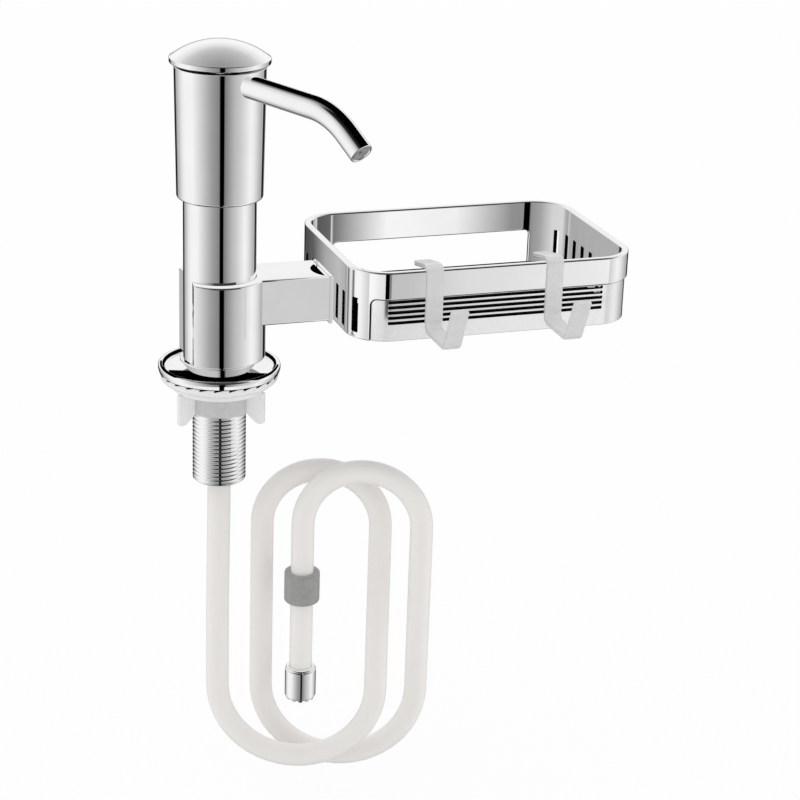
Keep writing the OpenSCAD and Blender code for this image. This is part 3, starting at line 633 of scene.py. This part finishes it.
clip_low, clip_high = span("clip_ring")
CLIP_BORE_R = 15.4
CLIP_R = clip_high.x
CLIP_OPEN = 85
CLIP_SLANT = 8
arm_low, arm_high = span("caddy_arm")
plate_low, plate_high = span("arm_plate")
basket_low, basket_high = span("basket_frame")
BASKET_WALL = 3
CORNER_R = 16.9
half_w = basket_high.y
straight_x0 = basket_low.x + CORNER_R
straight_x1 = basket_high.x - CORNER_R
straight_y = half_w - CORNER_R
quarter = CORNER_R * pi / 2
long_side = straight_x1 - straight_x0
short_side = 2 * straight_y
# Distances along the wall, from the middle of the back, round the left end to the front and on
LEFT_BACK = long_side / 2
LEFT_WALL = LEFT_BACK + quarter
LEFT_FRONT = LEFT_WALL + short_side
FRONT_WALL = LEFT_FRONT + quarter
RIGHT_FRONT = FRONT_WALL + long_side
RIGHT_WALL = RIGHT_FRONT + quarter
RIGHT_BACK = RIGHT_WALL + short_side
BACK_WALL = RIGHT_BACK + quarter
AROUND = BACK_WALL + long_side / 2
middle_x = (straight_x0 + straight_x1) / 2
# Each run of the wall: its end, its first point or its corner's centre, the direction out of the basket
# at its start in degrees, and whether it is a corner
WALL_RUNS = (
    (LEFT_BACK, (middle_x, half_w), 90, False),
    (LEFT_WALL, (straight_x0, straight_y), 90, True),
    (LEFT_FRONT, (basket_low.x, straight_y), 180, False),
    (FRONT_WALL, (straight_x0, -straight_y), 180, True),
    (RIGHT_FRONT, (straight_x0, -half_w), 270, False),
    (RIGHT_WALL, (straight_x1, -straight_y), 270, True),
    (RIGHT_BACK, (basket_high.x, -straight_y), 0, False),
    (BACK_WALL, (straight_x1, straight_y), 0, True),
    (AROUND, (straight_x1, half_w), 90, False))


def wall_point(distance):
    """A point of the basket's outer line and the direction out of the basket there."""
    start = 0
    for end, place, facing, corner in WALL_RUNS:
        if distance <= end + MERGE or end == AROUND:
            break
        start = end
    past = distance - start
    angle = radians(facing) + (past / CORNER_R if corner else 0)
    out = Vector((cos(angle), sin(angle)))
    if corner:
        return Vector(place) + CORNER_R * out, out
    return Vector(place) + Vector((-out.y, out.x)) * past, out


def bend_wall(inset):
    """The mapping from (distance along the wall, height, depth into the wall) to a point."""
    def place(distance, height, depth):
        point, out = wall_point(distance)
        point = point - out * (inset + depth)
        return point.x, point.y, height
    return place


# Distances at which the wall's corners are divided, every three degrees
CORNER_STATIONS = [start + quarter * k / 30 for k in range(31)
                   for start in (LEFT_BACK, LEFT_FRONT, RIGHT_FRONT, RIGHT_BACK)]


def slot(u, width, low, high, radius=0.4):
    """An upright hole in a wall, clockwise so that the wall is on its left."""
    return fillet([(u - width / 2, low, radius), (u - width / 2, high, radius),
                   (u + width / 2, high, radius), (u + width / 2, low, radius)], 3), True


def at_right(y):
    """The distance along the wall to a place in the right end."""
    return RIGHT_WALL + straight_y + y


SLOT_W = 3.4
SLOT_PITCH = 9
CORNER_SLOT = radians(27) * CORNER_R
slot_low = basket_low.z + 2.8
band_low = basket_high.z - 11.8
slot_high = band_low - 0.5
window_high = basket_high.z - 13.6
WINDOW_PAST = 2.4
PANEL_INSET = 0.9
# The panel starts on the left corner, this far left of the corner's centre
PANEL_EDGE = 10.2
panel_start = LEFT_FRONT + CORNER_R * acos(PANEL_EDGE / CORNER_R)
panel_end = at_right(-14)


def basket_frame():
    floor, rim = basket_low.z, basket_high.z
    window = 2.5
    back_right = BACK_WALL - WINDOW_PAST
    lower = fillet([
        (0, window_high, 0), (LEFT_BACK, window_high, window), (LEFT_BACK, floor, 0.4),
        (panel_start, floor, 0.4), (panel_start, band_low, window), (panel_end, band_low, window),
        (panel_end, floor, 0.4), (back_right, floor, 0.4), (back_right, window_high, window),
        (AROUND, window_high, 0)])
    upper = [Vector((AROUND, rim)), Vector((0, rim))]
    stands = []
    for i in range(-3, 4):
        y = i * SLOT_PITCH
        if abs(y) > 14.7:
            stands.append(LEFT_WALL + straight_y - y)
        if y > -14:
            stands.append(at_right(y))
    stands += [LEFT_WALL - CORNER_SLOT, LEFT_FRONT + CORNER_SLOT, RIGHT_BACK + CORNER_SLOT]
    holes = [slot(u, SLOT_W, slot_low, slot_high) for u in stands]
    return plate([(lower, False), (upper, False)] + holes, bend_wall(0), BASKET_WALL, 0.75,
                 CORNER_STATIONS, 5, 0.2)


def front_panel():
    gap = 0.08
    outline = rectangle(
        panel_start + gap, basket_low.z, panel_end - gap, band_low - gap, (0.4, 0.4, 2.4, 2.4))
    slots = []
    slot_x0, slot_x1, pitch, height = 59.6, 155, 2.25, 1.2
    middle = FRONT_WALL - straight_x0 + (slot_x0 + slot_x1) / 2
    for i in range(5):
        top = slot_high - i * pitch
        slots.append(slot(middle, slot_x1 - slot_x0, top - height, top, 0.25))
    stands = (at_right(-2 * SLOT_PITCH), at_right(-3 * SLOT_PITCH), RIGHT_WALL - CORNER_SLOT)
    slots += [slot(u, SLOT_W, slot_low, slot_high) for u in stands]
    return plate([(outline, True)] + slots, bend_wall(PANEL_INSET), BASKET_WALL - PANEL_INSET, 0.3,
                 CORNER_STATIONS, 3, 0.1)


def in_slot(middle, normal):
    """True for the faces inside the slots, which lie across the wall; they are painted near black as painted
    shade.
    """
    x = middle.x - middle_x
    past = Vector((max(abs(x) - long_side / 2, 0), max(abs(middle.y) - straight_y, 0)))
    out = Vector((copysign(past.x, x), copysign(past.y, middle.y), 0)).normalized()
    margin, past_end, across = 0.3, 12, 0.8
    near_slots = slot_low - margin < middle.z < slot_high + margin and middle.y < straight_y + past_end
    return near_slots and abs(normal.dot(out)) < across


def basket_floor():
    low, high = span("basket_floor")
    radius = CORNER_R - BASKET_WALL
    outline = rectangle(low.x, low.y, high.x, high.y, (radius,) * 4, 16)
    slots = []
    count, margin, width, front, back = 11, 12, 3.8, 2, half_w - 13
    pitch = (basket_high.x - basket_low.x - 2 * margin) / count
    for i in range(count):
        x = basket_low.x + margin + (i + 0.5) * pitch
        slots.append(slot(x, width, front, back))
    return plate([(outline, True)] + slots, lambda u, v, depth: (u, v, high.z - depth),
                 high.z - low.z, 0.4)


def clip_ring():
    """The open ring; past its outer corners its ends thin along a slanted plane."""
    profile = rectangle(CLIP_BORE_R, clip_low.z, CLIP_R, clip_high.z, (0.4, 0.9, 0.8, 0.4))
    corner = 180 - CLIP_OPEN / 2
    facing = 180 + CLIP_SLANT
    reach = CLIP_R * cos(radians(facing - corner))
    last = facing - degrees(acos(reach / CLIP_BORE_R)) - 0.05
    angles = [-last + (last - corner) * k / 8 for k in range(8)]
    angles += [-corner + 2 * corner * k / 120 for k in range(121)]
    angles += [corner + (last - corner) * (k + 1) / 8 for k in range(8)]
    points = []
    for angle in angles:
        past = abs(angle) > corner + MERGE
        limit = reach / cos(radians(facing - abs(angle))) if past else CLIP_R
        turn = radians(angle)
        points += [(min(r, limit) * cos(turn), min(r, limit) * sin(turn), z) for r, z in profile]
    return points, wrap(len(angles), len(profile), False)


def at_ring_end(middle, normal):
    """True for the ring's thin ends, whose faces look neither along a radius nor up or down; they are painted
    near black as a painted dark reflection.
    """
    return abs(normal.z) < 0.5 and abs(normal.dot(middle.xy.to_3d().normalized())) < 0.6


def caddy_arm():
    half = arm_high.y
    root_r = CLIP_R - 1.6
    root_angle = asin(half / root_r)
    arc = [Vector((root_r * cos(a), root_r * sin(a)))
           for a in (root_angle * (1 - k / 12) for k in range(25))]
    outline = [Vector((arm_high.x, -half)), Vector((arm_high.x, half))] + arc
    return plate([(outline, True)], lambda u, v, depth: (u, v, arm_high.z - depth),
                 arm_high.z - arm_low.z, 0.8)


def arm_plate():
    outline = rectangle(plate_low.y, plate_low.z, plate_high.y, plate_high.z, (0.8,) * 4)
    return plate([(outline, True)], lambda u, v, depth: (plate_low.x + depth, u, v),
                 plate_high.x - plate_low.x, 0.3)


# The notch in the arm's top: its depth, flat side, reach back from there, half width and middle
NOTCH_DEPTH = 5
NOTCH_FLAT = arm_high.x - 1.7
NOTCH_REACH = 3.6
NOTCH_HALF = 8.4
NOTCH_Y = -2.6


def in_notch(middle, _):
    """True for the notch's faces, which are painted near black as painted shade."""
    return (NOTCH_FLAT - NOTCH_REACH - MERGE < middle.x < NOTCH_FLAT + MERGE
            and abs(middle.y - NOTCH_Y) < NOTCH_HALF + MERGE
            and arm_high.z - NOTCH_DEPTH - MERGE < middle.z < arm_high.z - MERGE)


def cut_notch(piece):
    """Takes the notch, whose back is an arc, out of the arm."""
    low, high = arm_high.z - NOTCH_DEPTH, arm_high.z + 1
    back = NOTCH_FLAT - NOTCH_REACH
    radius = (NOTCH_REACH ** 2 + NOTCH_HALF ** 2) / (2 * NOTCH_REACH)
    spread = asin(NOTCH_HALF / radius)
    rim = []
    for k in range(25):
        turn = pi + spread * (k / 12 - 1)
        rim.append((back + radius * (1 + cos(turn)), NOTCH_Y + radius * sin(turn)))
    points = [(x, y, z) for z in (low, high) for x, y in rim]
    cutter = placed("notch", closed_mesh("notch", (points, wrap(2, len(rim), False))))
    cut = piece.modifiers.new("notch", "BOOLEAN")
    cut.object = cutter
    cut.solver = "EXACT"
    piece.modifiers.move(1, 0)
    bpy.context.view_layer.update()
    shape = bpy.data.meshes.new_from_object(piece.evaluated_get(bpy.context.evaluated_depsgraph_get()))
    piece.modifiers.clear()
    piece.data = shape
    bpy.data.objects.remove(cutter)


band = make_piece("clip_band", clip_ring(), "caddy", "chrome", "clip_ring")
repaint(band, SHADE, at_ring_end)
arm = make_piece("arm_block", caddy_arm(), "caddy", "chrome", "caddy_arm")
cut_notch(arm)
repaint(arm, SHADE, in_notch)
make_piece("end_plate", arm_plate(), "caddy", "chrome", "arm_plate")
wall = make_piece("basket_wall", basket_frame(), "caddy", "chrome", "basket_frame")
panel = make_piece("slotted_panel", front_panel(), "caddy", "chrome", "front_panel", look=SATIN)
for slotted in (wall, panel):
    repaint(slotted, SHADE, in_slot)
make_piece("basket_base", basket_floor(), "caddy", "dark_plastic", "basket_floor")


# Hooks

def hook(node):
    """A bent strip over the rim, down the front and out to a rising prong."""
    low, high = span(node)
    thick = 2.2
    strap_y = -half_w - 0.3 - thick / 2
    lip_z = basket_high.z + 0.2 + thick / 2
    foot_z = basket_low.z + 4.5
    prong_y = strap_y - 22.5
    line = [(strap_y + 16.2, lip_z - 2.3, 0), (strap_y + 4.2, lip_z, 3), (strap_y, lip_z, 2.4),
            (strap_y, foot_z, 3.4), (prong_y, foot_z, 3.4), (prong_y - 8, foot_z + 18, 0)]
    rounded = fillet(line, 7)
    moves = draw_in(rounded, False)
    left = [p + move * thick / 2 for p, move in zip(rounded, moves)]
    right = [p - move * thick / 2 for p, move in zip(rounded, moves)]
    return plate([(right + left[::-1], True)], lambda u, v, depth: (low.x + depth, u, v), high.x - low.x, 0.5)


for node_name, body_name in (("hook_left", "left_hook"), ("hook_right", "right_hook")):
    make_piece(f"{node_name}_strip", hook(node_name), body_name, "frosted_plastic", node_name)


# Feed hose: one smooth line from inside the shank to the foot valve

HOSE_R = 5
HOSE_TURN = radians(-19.28)
LOOPS = 2
LOOP_SPAN = 70.5
LOOP_PITCH, RIGHT_PITCH = 18.5, 18
LOOP_DEPTH = 6
FIRST_LOW, LOW_STEP = -182, -5
FIRST_HIGH, HIGH_STEP = -47, 4.7
TAIL_END = -141.7
DROP_HEIGHTS = [-37, -50, -65, -85, -105, -125]
DROP_TURN, DROP_BEND = -50, 60
ARC_STEPS = 28
RISE_STEPS = 8


def in_plane(u, w, z):
    """A point of the hose's plane: along it, out of it towards the front, and up."""
    return Vector((u * cos(HOSE_TURN) + w * sin(HOSE_TURN),
                   u * sin(HOSE_TURN) - w * cos(HOSE_TURN), z))


def ease(t):
    return t * t * (3 - 2 * t)


def hose_line():
    """The hose's middle line: the drop, the loops and the tail."""
    line = []

    def half_turn(side, w, height, start):
        """Half a circle between one side of a loop and its right side."""
        radius = (right - side) / 2
        for k in range(ARC_STEPS + 1):
            a = pi * (start + k / ARC_STEPS)
            line.append(in_plane((side + right) / 2 + radius * cos(a), w, height + radius * sin(a)))

    def climb(u, w, end_w, low, high):
        """An upright stretch that moves across the plane on its way."""
        for k in range(1, RISE_STEPS):
            t = k / RISE_STEPS
            line.append(in_plane(u, w + (end_w - w) * ease(t), low + (high - low) * t))

    for z in DROP_HEIGHTS:
        line.append(in_plane(0, LOOP_DEPTH * ease(max(0, min(1, (DROP_TURN - z) / DROP_BEND))), z))
    for i in range(LOOPS):
        left, after = i * LOOP_PITCH, (i + 1) * LOOP_PITCH
        right = LOOP_SPAN + i * RIGHT_PITCH
        near = LOOP_DEPTH * (-1) ** i
        low = FIRST_LOW + i * LOW_STEP + (right - left) / 2
        if i > 0:
            climb(left, near, near, high, low)
        high = FIRST_HIGH + i * HIGH_STEP - (right - after) / 2
        half_turn(left, near, low, 1)
        climb(right, near, -near, low, high)
        half_turn(after, -near, high, 0)
    high = line[-1].z
    line += [in_plane(after, -near, high + (TAIL_END - high) * t) for t in (0.25, 0.5, 0.75, 1)]
    return line


def feed_hose():
    line = hose_line()
    curve = bpy.data.curves.new("feed_hose", "CURVE")
    curve.dimensions = "3D"
    curve.bevel_depth = HOSE_R * MM
    curve.bevel_resolution = 10
    curve.use_fill_caps = True
    spline = curve.splines.new("POLY")
    spline.points.add(len(line) - 1)
    for point, place in zip(spline.points, line):
        point.co = (*(place * MM), 1)
    spline.use_smooth = True
    curve.materials.append(MATERIALS["hose"])
    piece = placed("feed_hose", curve)
    piece.visible_glossy = False
    length = sum((b - a).length for a, b in zip(line, line[1:]))
    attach(piece, "base")
    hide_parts("hose_drop", "hose_coil", "hose_tail")
    return piece, length


def round_piece(node, corners):
    """A turned piece on the hose. Its corners are (radius, height, rounding), for its lowest and highest
    point and its outer radius."""
    low, high = span(node)
    middle = ((low.x + high.x) / 2, (low.y + high.y) / 2)
    return lathe(fillet(corners(low.z, high.z, (high.x - low.x) / 2)), middle, 96)


def sleeve_corners(low, high, outer):
    bore = HOSE_R + 0.1
    return [(bore, low, 0.3), (outer, low, 0.9), (outer, high, 0.7), (bore, high, 0.3)]


def valve_corners(low, high, outer):
    bore, mouth, throat, neck = HOSE_R + 0.1, 5.4, 1.4, outer - 0.45
    return [(mouth, low, 0), (outer, low, 0.6), (outer, high - 1.0, 0.3), (neck, high - 0.75, 0.2),
            (neck, high, 0.5), (bore, high, 0.1), (bore, high - 5, 0), (throat, high - 5, 0),
            (throat, low + 3, 0), (mouth, low + 2, 0)]


hose, hose_length = feed_hose()
sleeve = make_piece("stop_sleeve", round_piece("hose_stop", sleeve_corners), "stop", "grey_plastic",
                    "hose_stop")
valve = make_piece("foot_valve", round_piece("valve_body", valve_corners), "base", "chrome", "valve_body")


# Stage: floor, light tent, camera and cards

def floor():
    """A wide floor under the hose, which the camera sees nearly white."""
    z, reach, brightness = -202, 3000, 0.9
    corners = [(-reach, -reach, z), (reach, -reach, z), (reach, reach, z), (-reach, reach, z)]
    mesh = plain_mesh("floor", corners, [(0, 1, 2, 3)])
    piece = placed("floor", mesh)
    material, tree, surface = shader("pale_floor", Roughness=0.9, Base_Color=0.97)
    seen = maths_node(tree, "MULTIPLY", add(tree, "LightPath").outputs["Is Camera Ray"], brightness)
    mix = add(tree, "MixShader", seen, surface.outputs[0], add(tree, "Emission").outputs[0])
    fill(tree.nodes["Material Output"], Surface=mix.outputs[0])
    mesh.materials.append(material)
    piece.visible_glossy = False
    piece.visible_transmission = False


VIEW_AZIMUTH = -19.28

# Brightness of the tent's walls by compass angle from the camera, in degrees: broad white screens, a
# dark strip beside the camera and two dark gaps at the back that draw the chrome's outlines
WALLS = (
    (-180, 0.3), (-166, 0.3), (-162, 0.01), (-144, 0.01), (-141, 0.18), (-137, 0.44), (-122, 0.62),
    (-108, 0.87), (-95, 0.97), (-70, 0.98), (-58, 0.84), (-43, 0.66), (-30, 0.51), (-17, 0.37), (3.5, 0.24),
    (5, 0), (15.5, 0), (17, 0.2), (30, 0.36), (43, 0.52), (57, 0.63), (72, 0.78), (90, 0.97),
    (103, 0.88), (118, 0.66), (134, 0.46), (142, 0.5), (146, 0.01), (162, 0.01), (166, 0.3), (180, 0.3))
# The sky's lower and upper part by the same angle, dark over the camera
FRONT_SKY = (
    (-180, 1), (-70, 1), (-50, 0.8), (-32, 0.45), (-10, 0.05), (62, 0.05), (85, 0.5), (105, 1), (180, 1))
HIGH_SKY = ((-180, 1), (-110, 1), (-92, 0.05), (92, 0.05), (110, 1), (180, 1))
# Where the white screens reach down below the walls
LOW_SCREEN = (
    (-180, 0), (-120, 0), (-95, 1), (4, 1), (5, 0), (15.5, 0), (16.5, 1), (95, 1), (120, 0), (180, 0))
# Heights where the sky's upper part, the low screens and the sky begin, and what is behind
HIGH_SKY_FROM = ((0.76, 0), (0.84, 1))
SCREEN_FROM, SCREEN_WHITE = ((0.66, 0), (0.72, 1)), 0.95
SKY_FROM = ((0.45, 0), (0.66, 1))
BEHIND = ((0, 1), (0.1, 1), (0.13, 0), (0.87, 0), (0.9, 1), (1, 1))
# Brightness up the sky, down below the walls and, for rough surfaces, from the far side to the camera's
SKY_FADE = ((0, 0.96), (0.4, 0.95), (0.6, 0.8), (0.74, 0.58), (0.95, 0.38), (1, 0.3))
GROUND_FADE = ((0, 1), (0.8, 1), (0.84, 0.02), (1, 0.02))
SOFT_LIGHT = ((0, 1), (0.5, 1), (0.8, 0.86), (1, 0.55))


def card(name, points, places, faces, light, cover=((0, 1), (1, 1)), reach=None):
    """A studio card that only mirrors see, from its front, and no farther than its reach in millimetres.

    Its points have places from 0 to 1 over its length and height. The stops of light give its brightness
    over its length, and those of cover how solid it is over its height."""
    mesh = plain_mesh(name, points, faces)
    spots = mesh.uv_layers.new().data
    for loop in mesh.loops:
        spots[loop.index].uv = places[loop.vertex_index]
    material = bpy.data.materials.new(name)
    material.use_nodes = True
    tree = material.node_tree
    tree.nodes.clear()
    length, height, _ = add(tree, "SeparateXYZ", add(tree, "UVMap").outputs[0]).outputs
    back = add(tree, "NewGeometry").outputs["Backfacing"]
    solid = mix_node(tree, back, ramp_node(tree, height, cover), 0)
    if reach:
        away = add(tree, "LightPath").outputs["Ray Length"]
        solid = mix_node(tree, maths_node(tree, "LESS_THAN", away, reach * MM), 0, solid)
    glow = add(tree, "Emission", ramp_node(tree, length, light))
    clear = add(tree, "BsdfTransparent")
    mix = add(tree, "MixShader", solid, clear.outputs[0], glow.outputs[0])
    add(tree, "OutputMaterial", mix.outputs[0])
    mesh.materials.append(material)
    piece = placed(name, mesh)
    piece.visible_camera = False
    piece.visible_diffuse = False
    piece.visible_transmission = False
    piece.visible_shadow = False


BLACK = ((0, 0), (1, 0))


def upright_card(name, y, x0, x1, z0, z1, light, faces_back=False, reach=None):
    """A card across the view from x0 to x1, with soft lower and upper edges."""
    corners = [(x0, y, z0), (x0, y, z1), (x1, y, z1), (x1, y, z0)]
    face = (3, 2, 1, 0) if faces_back else (0, 1, 2, 3)
    card(name, corners, [(0, 0), (0, 1), (1, 1), (1, 0)], [face], light,
         ((0, 0), (0.04, 1), (0.96, 1), (1, 0)), reach)


def dish_flag():
    """A black card level over the dish's front half, which darkens the front of its floor."""
    turn, height = radians(VIEW_AZIMUTH), Vector((0, 0, 5))
    right, front = Vector((cos(turn), sin(turn), 0)), Vector((sin(turn), -cos(turn), 0))
    corners = [right * u + front * v + height for u, v in ((-26, -4), (26, -4), (26, 20), (-26, 20))]
    card("dish_flag", corners, [(0, 0), (1, 0), (1, 1), (0, 1)], [(0, 1, 2, 3)], BLACK)


def spout_flag():
    """A black strip close over the spout, which draws the dark line along its upper side."""
    rise, near, far, reach = SPOUT_R + 1, -4.4, 4.4, 7
    start, steps = SPOUT_ROOT + 5, 40
    points, places = [], []
    for k in range(steps + 1):
        middle, up = along_spout(start + (SPOUT_LENGTH - start) * k / steps)
        for side in (near, far):
            points.append(spout_place @ (middle + up * rise + Vector((0, side, 0))))
            places.append((k / steps, (side - near) / (far - near)))
    faces = [(2 * k, 2 * k + 1, 2 * k + 3, 2 * k + 2) for k in range(steps)]
    card("spout_flag", points, places, faces, BLACK, ((0, 0), (0.24, 1), (1, 1)), reach)


def curved_card(name, middle, start, end, lower, upper, light, inward=False):
    """A card round an upright axis between two angles, from one (radius, height) up to another."""
    steps = 24
    points, places = [], []
    for k in range(steps + 1):
        angle = radians(start + (end - start) * k / steps)
        for height, (radius, z) in enumerate((lower, upper)):
            points.append((middle[0] + radius * cos(angle), middle[1] + radius * sin(angle), z))
            places.append((k / steps, height))
    faces = [(2 * k, 2 * k + 2, 2 * k + 3, 2 * k + 1) for k in range(steps)]
    if inward == (end > start):
        faces = [face[::-1] for face in faces]
    card(name, points, places, faces, light)


def light_tent():
    """A studio for the chrome: white screens with dark strips between them, and plain white elsewhere."""
    world = bpy.data.worlds.new("studio")
    bpy.context.scene.world = world
    world.use_nodes = True
    tree = world.node_tree
    tree.nodes.clear()
    maths, ramp, mix = (partial(make, tree) for make in (maths_node, ramp_node, mix_node))

    x, y, z = add(tree, "SeparateXYZ", add(tree, "TexCoord").outputs["Generated"]).outputs
    facing = radians(VIEW_AZIMUTH - 90)
    ahead = maths("ADD", maths("MULTIPLY", x, cos(facing)), maths("MULTIPLY", y, sin(facing)))
    aside = maths("SUBTRACT", maths("MULTIPLY", y, cos(facing)), maths("MULTIPLY", x, sin(facing)))
    turn = maths("ADD", maths("DIVIDE", maths("ARCTAN2", aside, ahead), 2 * pi), 0.5)
    walls, front, high, screen = (
        ramp(turn, [(angle / 360 + 0.5, value) for angle, value in stops])
        for stops in (WALLS, FRONT_SKY, HIGH_SKY, LOW_SCREEN))

    # z runs from -1 at the bottom through 0 at the horizon to 1 at the top
    up = maths("MAXIMUM", z, 0)
    down = maths("MAXIMUM", maths("MULTIPLY", z, -1), 0)
    sky = mix(ramp(up, HIGH_SKY_FROM), front, high)
    sky = mix(1, sky, ramp(up, SKY_FADE), "MULTIPLY")
    screen = mix(1, screen, ramp(down, SCREEN_FROM), "MULTIPLY")
    low = mix(1, mix(screen, walls, SCREEN_WHITE), ramp(down, GROUND_FADE), "MULTIPLY")
    # The sky comes a little farther down at the back
    height = maths("ADD", z, maths("MULTIPLY", ramp(turn, BEHIND), 0.02))
    tent = mix(ramp(maths("ADD", height, 0.5), SKY_FROM), low, sky)

    rays = add(tree, "LightPath").outputs
    clear = maths("MAXIMUM", rays["Is Camera Ray"], rays["Is Transmission Ray"])
    plain = mix(clear, ramp(maths("ADD", maths("MULTIPLY", ahead, 0.5), 0.5), SOFT_LIGHT), 0.99)
    light = add(tree, "Background", mix(rays["Is Glossy Ray"], plain, tent))
    add(tree, "OutputWorld", light.outputs[0])


def camera():
    elevation, roll, distance = 20.84, 1.95, 939.75
    target_right, target_up = 77.21, -11.06
    a, e, r = radians(VIEW_AZIMUTH), radians(elevation), radians(roll)
    right = Vector((cos(a), sin(a), 0))
    back = Vector((sin(a) * cos(e), -cos(a) * cos(e), sin(e)))
    up = back.cross(right)
    place = right * target_right + Vector((0, 0, target_up)) + back * distance
    right, up = right * cos(r) + up * sin(r), up * cos(r) - right * sin(r)
    lens = bpy.data.cameras.new("camera")
    lens.lens = 99
    lens.clip_start = 0.01
    piece = placed("camera", lens)
    piece.matrix_world = Matrix((
        (right.x, up.x, back.x, place.x * MM), (right.y, up.y, back.y, place.y * MM),
        (right.z, up.z, back.z, place.z * MM), (0, 0, 0, 1)))
    bpy.context.scene.camera = piece


floor()
light_tent()
camera()
spout_flag()
# Bright cards for the basket and the arm, too far from the barrel for their reach
upright_card("band_card", -60, 61.4, 170, 28.6, 52, (
    (0, 0.55), (0.1, 0.58), (0.35, 0.78), (0.8, 0.88), (1, 0.93)), reach=40)
upright_card("corner_card", -60, 16, 54.3, 12, 52, ((0, 1), (0.5, 1), (1, 0.8)), reach=38)
upright_card("panel_card", -60, 30, 170, -8, 28.6, (
    (0, 0.56), (0.14, 0.7), (0.3, 0.8), (0.6, 0.88), (1, 0.92)), reach=40)
upright_card("arm_card", -30, 20, 52, 12, 42, ((0, 0.66), (1, 0.66)), reach=21.5)
upright_card("wall_card", 120, -10, 28, -40, 26, (
    (0, 0.3), (0.12, 0.36), (0.31, 0.55), (0.5, 0.4), (0.66, 0.12), (0.84, 0.04), (1, 0.03)), True)
upright_card("inner_card", -42, 66, 215, -8, 30, (
    (0, 0.02), (0.14, 0.1), (0.34, 0.98), (0.58, 0.95), (0.78, 0.3), (1, 0.25)))
corner_r = CORNER_R - BASKET_WALL - 2.5
corner_low, corner_high = (corner_r, basket_low.z), (corner_r, basket_high.z + 1)
curved_card("left_corner_flag", (straight_x0, straight_y), 180, 90, corner_low, corner_high, (
    (0, 0.03), (0.5, 0.05), (0.8, 0.1), (1, 0.15)))
curved_card("right_corner_flag", (straight_x1, straight_y), 90, 0, corner_low, corner_high, (
    (0, 0), (0.12, 0), (0.14, 0.3), (0.3, 0.4), (0.5, 0.7), (0.7, 0.75), (1, 0.5)))
# As bright as the walls behind it, this screen hides the basket's cards from the barrel and the head
curved_card("side_screen", (0, 0), -58, -4, (61, -25), (61, 75), (
    (0, 0.65), (0.167, 0.75), (0.333, 0.855), (0.5, 0.965), (0.667, 0.907), (0.833, 0.79), (1, 0.645)), True)
dish_flag()
curved_card("dish_card", (0, 0), -199, -19, (12.0, 1.4), (24, 1.4), (
    (0, 0.4), (0.3, 0.62), (0.5, 0.55), (0.53, 0.4), (0.54, 0), (0.58, 0), (0.59, 0.3), (0.8, 0.6),
    (1, 0.4)), True)

bpy.context.scene.view_settings.view_transform = "Standard"

bpy.context.view_layer.update()
